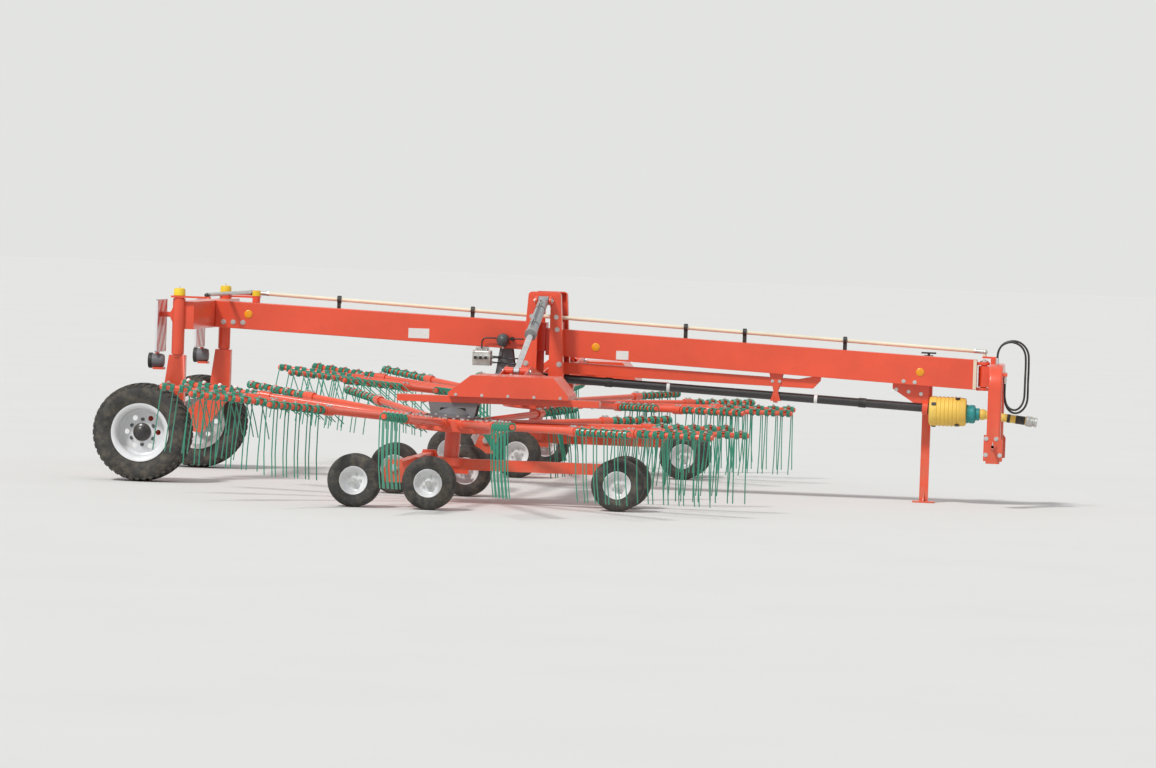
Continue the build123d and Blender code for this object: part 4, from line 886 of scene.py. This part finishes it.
for body, rows in BOLT_ROWS.items():
    bolts = [
        nuts(np.linspace(first, last, count), OUT, across, 0.8 * across)
        for first, last, count, across in rows
    ]
    piece(body + "_bolts", joined(bolts).both(), "zinc", body)

# Heads of the hinge pins and the lift cylinders' top pins: half length, y, z and share of full size
PIN_HEADS = [(0.194, 0.35, 0.85, 1.0), (0.065, 0.345, 1.53, 0.8)]
pin_head = joined([
    turned([(0, 0.007), (0.0285, 0.007), (0.031, 0.004), (0.031, 0), (0, 0)], 32, "X"),
    nuts([(0.007, 0, 0)], AHEAD, 0.009, 0.008),
])
heads = []
for reach, y, z, share in PIN_HEADS:
    head = pin_head.placed(Matrix.Diagonal((1, share, share, 1))).moved((reach, 0, 0))
    heads.append(joined([head, head.mirrored(0)]).moved((GANTRY_X, y, z)))
piece("pin_heads", joined(heads).both(), "zinc")

# Linch pins through the ends of the link pins, each with a wire bow over it
LINK_PIN_Z, LINCH_Y = 0.5, 0.488
t = np.linspace(0, pi, 13)
bow = np.stack([np.full_like(t, ARCH_X), LINCH_Y + 0.0165 * np.cos(t), 0.508 + 0.032 * np.sin(t)], -1)
linch = joined([
    bar((ARCH_X, LINCH_Y, 0.478), (ARCH_X, LINCH_Y, 0.53), 0.0045, 10),
    tube(bow, 0.002, 6, AHEAD),
])
piece("linch_pins", linch.both(), "zinc", "headstock")

# Yaw pin: a round head on the upper ear, with a bolt in its middle
yaw = joined([
    turned([(0, 0.012), (0.03, 0.012), (0.033, 0.009), (0.033, 0), (0, 0)], 32, "Z"),
    nuts([(0, 0, 0.014)], UP, 0.01, 0.008),
])
piece("yaw_pin_head", yaw.moved((YAW_X, 0, 1.16)), "zinc")

# Bolts on each swing arm: gearbox flange, input flange, rail, saddle and the lift foot's pin
arm_fixings = [
    nuts(circle((0.178, 0, 0.069), 12, 15, "Z"), UP, 0.0105, 0.009).placed(hub_place(1)),
    nuts(circle((0.04, 0, 0), 6, 30), IN, 0.006, 0.006).moved((ROTOR_X, ROTOR_Y - 0.15, 0.71)),
    nuts([
        (x, ROTOR_Y + y, 0.77) for x in (-1.03, -0.89, 0.27, 0.41) for y in (-0.06, 0.06)
    ], DOWN, 0.011, 0.01),
    nuts([(ROTOR_X + x, 2.71, 0.742) for x in (-0.135, 0.135)], IN, 0.009, 0.008),
    nuts([(GANTRY_X + 0.1, 2.05, 1.0)], AHEAD, 0.016, 0.012),
    nuts([(GANTRY_X - 0.1, 2.05, 1.0)], BACK, 0.016, 0.012),
]

# Nuts on the chassis: axle ends and the rockers' pivots
for way, facing_way in ((1, OUT), (-1, IN)):
    axles = [
        (ROTOR_X + forward, ROTOR_Y + outward + 0.063 * way, SMALL_R)
        for _, forward, outward in SMALL_WHEELS
        if outward * way > 0
    ]
    arm_fixings.append(nuts(axles, facing_way, 0.014, 0.012))
    arm_fixings.append(nuts([(ROTOR_X - 0.31, ROTOR_Y + way * 1.018, 0.3)], facing_way, 0.018, 0.014))
for hand, side in SIDES.items():
    piece("arm_fixings_" + hand, joined(arm_fixings).on(side), "zinc", "arm_" + hand)

# Steering linkage: the profile of a ball joint's housing for a radius of 1, and the rods' ends
HOUSING = np.array([
    (0, 0.5), (0.55, 0.48), (0.85, 0.4), (0.95, 0.2), (1, 0), (0.95, -0.35), (0.7, -0.5), (0.72, -0.6),
    (0.55, -0.75), (0.58, -0.85), (0.42, -1), (0, -1),
])
ROD_FRONT, ROD_REAR = (YAW_X, 0.05, 1.242), (LEVER_X, 0.106, 1.5)
TRACK_ROD_X, TRACK_ROD_Z = -2.89, 1.49


def rod_ends(first, second, housing_r, rod_r):
    """A rod's ball joints: at each, a turned housing about Z, a shank along the rod and its lock nut."""
    shapes = []
    for place, other in ((first, second), (second, first)):
        place = Vector(place)
        way = (Vector(other) - place).normalized() * housing_r
        shapes.append(turned(HOUSING * housing_r, 28, "Z").moved(place))
        shapes.append(bar(place, place + 3.2 * way, 0.72 * housing_r, 20))
        shapes.append(bar(place + 3.1 * way, place + 3.6 * way, 1.3 * rod_r, 6))
    return joined(shapes)


piece("long_rod_ends", rod_ends(ROD_FRONT, ROD_REAR, 0.024, 0.016), "zinc", "steering_rod")
track_rod = [(TRACK_ROD_X, side * KINGPIN_Y, TRACK_ROD_Z) for side in (1, -1)]
piece("track_rod_ends", rod_ends(*track_rod, 0.021, 0.015), "black_paint", "track_rod")

# Lift cylinders: ports with unions, the pipe along the barrel and its clamps, and the gland's rings
LIFT_TOP, LIFT_FOOT = np.array((0.345, 1.53)), np.array((2.05, 1.0))
lift_run = (LIFT_FOOT - LIFT_TOP) / np.linalg.norm(LIFT_FOOT - LIFT_TOP)
lift_across = np.array((-lift_run[1], lift_run[0]))


def on_lift(along, out):
    """A point on the left cylinder: top pin + along times its run + out times the way across it."""
    return (GANTRY_X, *(LIFT_TOP + along * lift_run + out * lift_across))


def band(along, length, inner, outer):
    """A ring round the cylinder's own axis."""
    way = Matrix.Rotation(atan2(lift_run[1], lift_run[0]), 4, "X")
    return disc(outer, 0, length, 40, inner=inner).placed(Matrix.Translation(on_lift(along, 0)) @ way)


# Ports and saddles: along and out for each end, radius and sides
PORTS = [
    ((0.8, 0.035), (0.8, 0.054), 0.013, 6),
    ((0.8, 0.05), (0.8, 0.06), 0.009, 16),
    ((0.13, -0.035), (0.13, -0.058), 0.013, 6),
    ((0.15, 0.062), (0.185, 0.062), 0.0095, 6),
    ((0.17, 0.04), (0.17, 0.069), 0.009, 12),
    ((0.261, 0.04), (0.261, 0.069), 0.009, 12),
    ((0.661, 0.04), (0.661, 0.069), 0.009, 12),
]
ports = [bar(on_lift(*first), on_lift(*last), radius, sides) for first, last, radius, sides in PORTS]
ports = joined(ports + [band(0.835, 0.006, 0.04, 0.0495), band(0.872, 0.006, 0.03, 0.0495)])
PIPE_PATH = [(0.8, 0.054), (0.798, 0.059), (0.79, 0.062), (0.6, 0.062), (0.4, 0.062), (0.18, 0.062)]
pipe = tube([on_lift(along, out) for along, out in PIPE_PATH], 0.0055, 12, AHEAD)
pipe = joined([pipe] + [band(along, 0.022, 0.0415, 0.0435) for along in (0.25, 0.65)])
for hand, side in SIDES.items():
    piece("ports_" + hand, ports.on(side), "zinc", "cylinder_barrel_" + hand)
    piece("pipe_" + hand, pipe.on(side), "black_paint", "cylinder_barrel_" + hand)

# Link pins: bright sleeves over the arch's pins, with a rounded end
link_pin = turned([(0, 0.502), (0.0115, 0.502), (0.01415, 0.4985), (0.01415, 0.412), (0, 0.412)], 32)
piece("link_pins", link_pin.moved((ARCH_X, 0, LINK_PIN_Z)).both(), "zinc", "headstock")

# Jack: black discs painted as the shade inside a row of pin holes down the leg's outer side, cap and crank
# on its top, and the pin's pull ring
JACK_X, JACK_Y, JACK_HALF = 2.81, 0.25, 0.035
hole = disc(0.0095, -0.001, 0.00015, 20)
holes = joined([hole.moved((JACK_X, JACK_Y + JACK_HALF, z)) for z in np.arange(0.18, 0.72, 0.09)])
piece("jack_hole_shade", holes, "guide_black", "jack")
jack_cap = joined([
    block((JACK_X - 0.037, JACK_Y - 0.037, 1.182), (JACK_X + 0.037, JACK_Y + 0.037, 1.194)),
    bar((JACK_X, JACK_Y, 1.19), (JACK_X, JACK_Y, 1.206), 0.011),
    bar((JACK_X - 0.06, JACK_Y, 1.212), (JACK_X + 0.06, JACK_Y, 1.212), 0.007, 12),
])
piece("jack_cap", jack_cap, "black_paint", "jack", bevel=0.001)
t = np.linspace(0, 2 * pi, 25)[:-1]
pull = np.stack([JACK_X + 0.02 * np.cos(t), np.full_like(t, JACK_Y + 0.1), 1.046 + 0.02 * np.sin(t)], -1)
piece("jack_ring", tube(pull, 0.0022, 8, OUT, closed=True), "zinc")

# Valve block: hexagon unions by their two ends, on its top, its front and the gantry's web, and below
UNIONS = [((x, -0.13, 1.1), (x, -0.13, 1.122)) for x in (-0.83, -0.79, -0.75)]
UNIONS += [((-0.72, y, z), (-0.698, y, z)) for y, z in ((-0.06, 1.05), (-0.11, 1.06), (-0.06, 1.01))]
UNIONS += [((-0.4, y, z), (-0.425, y, z)) for y, z in ((-0.13, 1.21), (-0.13, 1.05), (-0.16, 1.01))]
UNIONS += [((-0.614, -0.16, 1.147), (-0.614, -0.16, 1.128))]
piece("valve_unions", joined([bar(*ends, 0.011, 6) for ends in UNIONS]), "zinc")

# Black knobs on the three spools, and the block's cover screws
knob = turned([(0, -0.232), (0.009, -0.232), (0.0125, -0.228), (0.0125, -0.206), (0, -0.206)], 20)
knobs = joined([knob.moved((-0.83 + 0.042 * k, 0, 1.05)) for k in range(3)])
piece("valve_knobs", knobs, "guide_black")
screws = nuts([(x, -0.16, z) for x in (-0.85, -0.725) for z in (0.995, 1.093)], IN, 0.006, 0.005)
piece("valve_screws", screws, "zinc")

# Pipes from the valve block to the gantry's web and the accumulator, as the corners of their runs
PIPES = [
    [(-0.79, -0.13, 1.12), (-0.79, -0.13, 1.21), (-0.7, -0.13, 1.21), (-0.425, -0.13, 1.21)],
    [(-0.698, -0.06, 1.05), (-0.66, -0.06, 1.05), (-0.6, -0.13, 1.05), (-0.425, -0.13, 1.05)],
    [(-0.698, -0.06, 1.01), (-0.65, -0.06, 1.01), (-0.58, -0.16, 1.01), (-0.425, -0.16, 1.01)],
    [(-0.614, -0.16, 1.13), (-0.614, -0.16, 1.06), (-0.65, -0.11, 1.06), (-0.698, -0.11, 1.06)],
]


def eased(points, rounds=3):
    """Corner cutting: each run keeps its first and last quarter points, and the ends stay."""
    points = np.asarray(points, float)
    for _ in range(rounds):
        near, far = 0.75 * points[:-1] + 0.25 * points[1:], 0.25 * points[:-1] + 0.75 * points[1:]
        points = np.concatenate([points[:1], np.stack([near, far], 1).reshape(-1, 3), points[-1:]])
    return points


pipes = joined([tube(eased(path), 0.006, 12, (0.1, 0.3, 1)) for path in PIPES])
piece("valve_pipes", pipes, "black_paint")
pipe_clip = block((-0.56, -0.142, 1.196), (-0.535, -0.089, 1.224))
piece("pipe_clip", pipe_clip, "guide_black", bevel=0.002)

# Central gearbox: breather, level plug and drain plug
breather = turned([
    (0, 0.03), (0.007, 0.029), (0.011, 0.024), (0.011, 0.014), (0.006, 0.012), (0.006, 0), (0, 0),
], 20, "Z")
plugs = joined([
    breather.moved((-0.66, 0.1, 0.93)),
    nuts([(-0.69, -0.09, 0.84)], BACK, 0.011, 0.009),
    nuts([(-0.6, 0.0, 0.756)], DOWN, 0.014, 0.01),
])
piece("gearbox_plugs", plugs, "zinc")

# Warning boards: a folded rim round each and two bolts. Strips of the rim by two corners, out and up
BOARD_X, BOARD_Y, BOARD_Z, BOARD_HALF = -3.29, 0.91, 1.23, 0.21
rim_out, rim_in = BOARD_HALF + 0.001, BOARD_HALF - 0.007
RIM_STRIPS = [
    ((-rim_out, -rim_out), (rim_out, -rim_in)),
    ((-rim_out, rim_in), (rim_out, rim_out)),
    ((-rim_out, -BOARD_HALF), (-rim_in, BOARD_HALF)),
    ((rim_in, -BOARD_HALF), (rim_out, BOARD_HALF)),
]
rims = joined([
    block((BOARD_X - 0.0035, BOARD_Y + y0, BOARD_Z + z0), (BOARD_X + 0.013, BOARD_Y + y1, BOARD_Z + z1))
    for (y0, z0), (y1, z1) in RIM_STRIPS
])
piece("board_rims", rims.both(), "rim_silver", bevel=0.0008)
board_bolts = nuts([(BOARD_X, BOARD_Y + y, 1.322) for y in (-0.035, 0.035)], BACK, 0.009, 0.007)
piece("board_bolts", board_bolts.both(), "zinc")

# Hoods: a row of bolts along the outer skirt and two on the top
SKIRT_X0, SKIRT_X1, SKIRT_Y, SKIRT_Z = -0.63, 0.17, 2.95, 0.835
hood_bolts = joined([
    nuts([(x, SKIRT_Y, SKIRT_Z) for x in np.linspace(SKIRT_X0, SKIRT_X1, 5)], OUT, 0.008, 0.006),
    nuts([(GANTRY_X, y, 0.985) for y in (2.42, 2.88)], UP, 0.01, 0.008),
])
for hand, side in SIDES.items():
    piece("hood_bolts_" + hand, hood_bolts.on(side), "zinc", "arm_" + hand)

# Camera at the photograph's viewpoint, turned to hold the machine alone
CAMERA_PLACE, LOOK_AT = Vector((4.86, -46.0, 2.26)), Vector((-0.01, 0.0, 0.86))
CAMERA_ROLL = 2.0
PHOTO_LENS, CLOSER = 118.5, 1.5
camera = added("camera", bpy.data.cameras.new("camera"))
towards = facing(LOOK_AT - CAMERA_PLACE, "-Z", "Y")
camera.matrix_world = Matrix.Translation(CAMERA_PLACE) @ towards @ turn(CAMERA_ROLL, "Z")
camera.data.lens = PHOTO_LENS * CLOSER
camera.data.sensor_width = 36.0
camera.data.clip_end = 400.0
bpy.context.scene.camera = camera

# Pale floor
FLOOR_HALF = 150
corners = [(x * FLOOR_HALF, y * FLOOR_HALF, 0) for x, y in ((-1, -1), (1, -1), (1, 1), (-1, 1))]
floor_mesh = bpy.data.meshes.new("floor")
floor_mesh.from_pydata(corners, [], [(0, 1, 2, 3)])
floor = added("floor", floor_mesh)
f = Finish("floor_finish", Roughness=0.9, Specular_IOR_Level=0.1)
f.set(Base_Color=f.mix(f.noise(0.6, 2.0), (0.70, 0.69, 0.66), (0.74, 0.73, 0.70)))
floor_mesh.materials.append(f.material)

# Soft sun from behind the camera's left shoulder, and an even sky
SUN_STRENGTH, SUN_SPREAD, SUN_WAY = 2.3, 9, (0.45, 0.75, -1.0)
SKY_COLOUR, SKY_STRENGTH = (0.86, 0.89, 0.93, 1.0), 0.62
sun = added("sun", bpy.data.lights.new("sun", "SUN"))
sun.data.energy = SUN_STRENGTH
sun.data.angle = radians(SUN_SPREAD)
sun.rotation_euler = facing(SUN_WAY, "-Z", "Y").to_euler()
world = bpy.data.worlds.new("sky")
bpy.context.scene.world = world
world.use_nodes = True
light = world.node_tree.nodes["Background"]
light.inputs["Color"].default_value = SKY_COLOUR
light.inputs["Strength"].default_value = SKY_STRENGTH

# The camera, gloss and glass see a backdrop of the floor's own tone instead of the sky
BACKDROP = (0.768, 0.776, 0.761, 1.0)
sky = Nodes(world.node_tree)
backdrop = sky.node("ShaderNodeBackground", {}, {"Color": BACKDROP})
rays = sky.node("ShaderNodeLightPath").outputs
seen = sum(Number(sky, rays[f"Is {kind} Ray"]) for kind in ("Camera", "Glossy", "Transmission"))
chosen = sky.node("ShaderNodeMixShader", {}, {0: seen, 1: light.outputs[0], 2: backdrop.outputs[0]})
sky.tree.links.new(chosen.outputs[0], sky.tree.nodes["World Output"].inputs[0])
bpy.context.scene.view_settings.view_transform = "Standard"
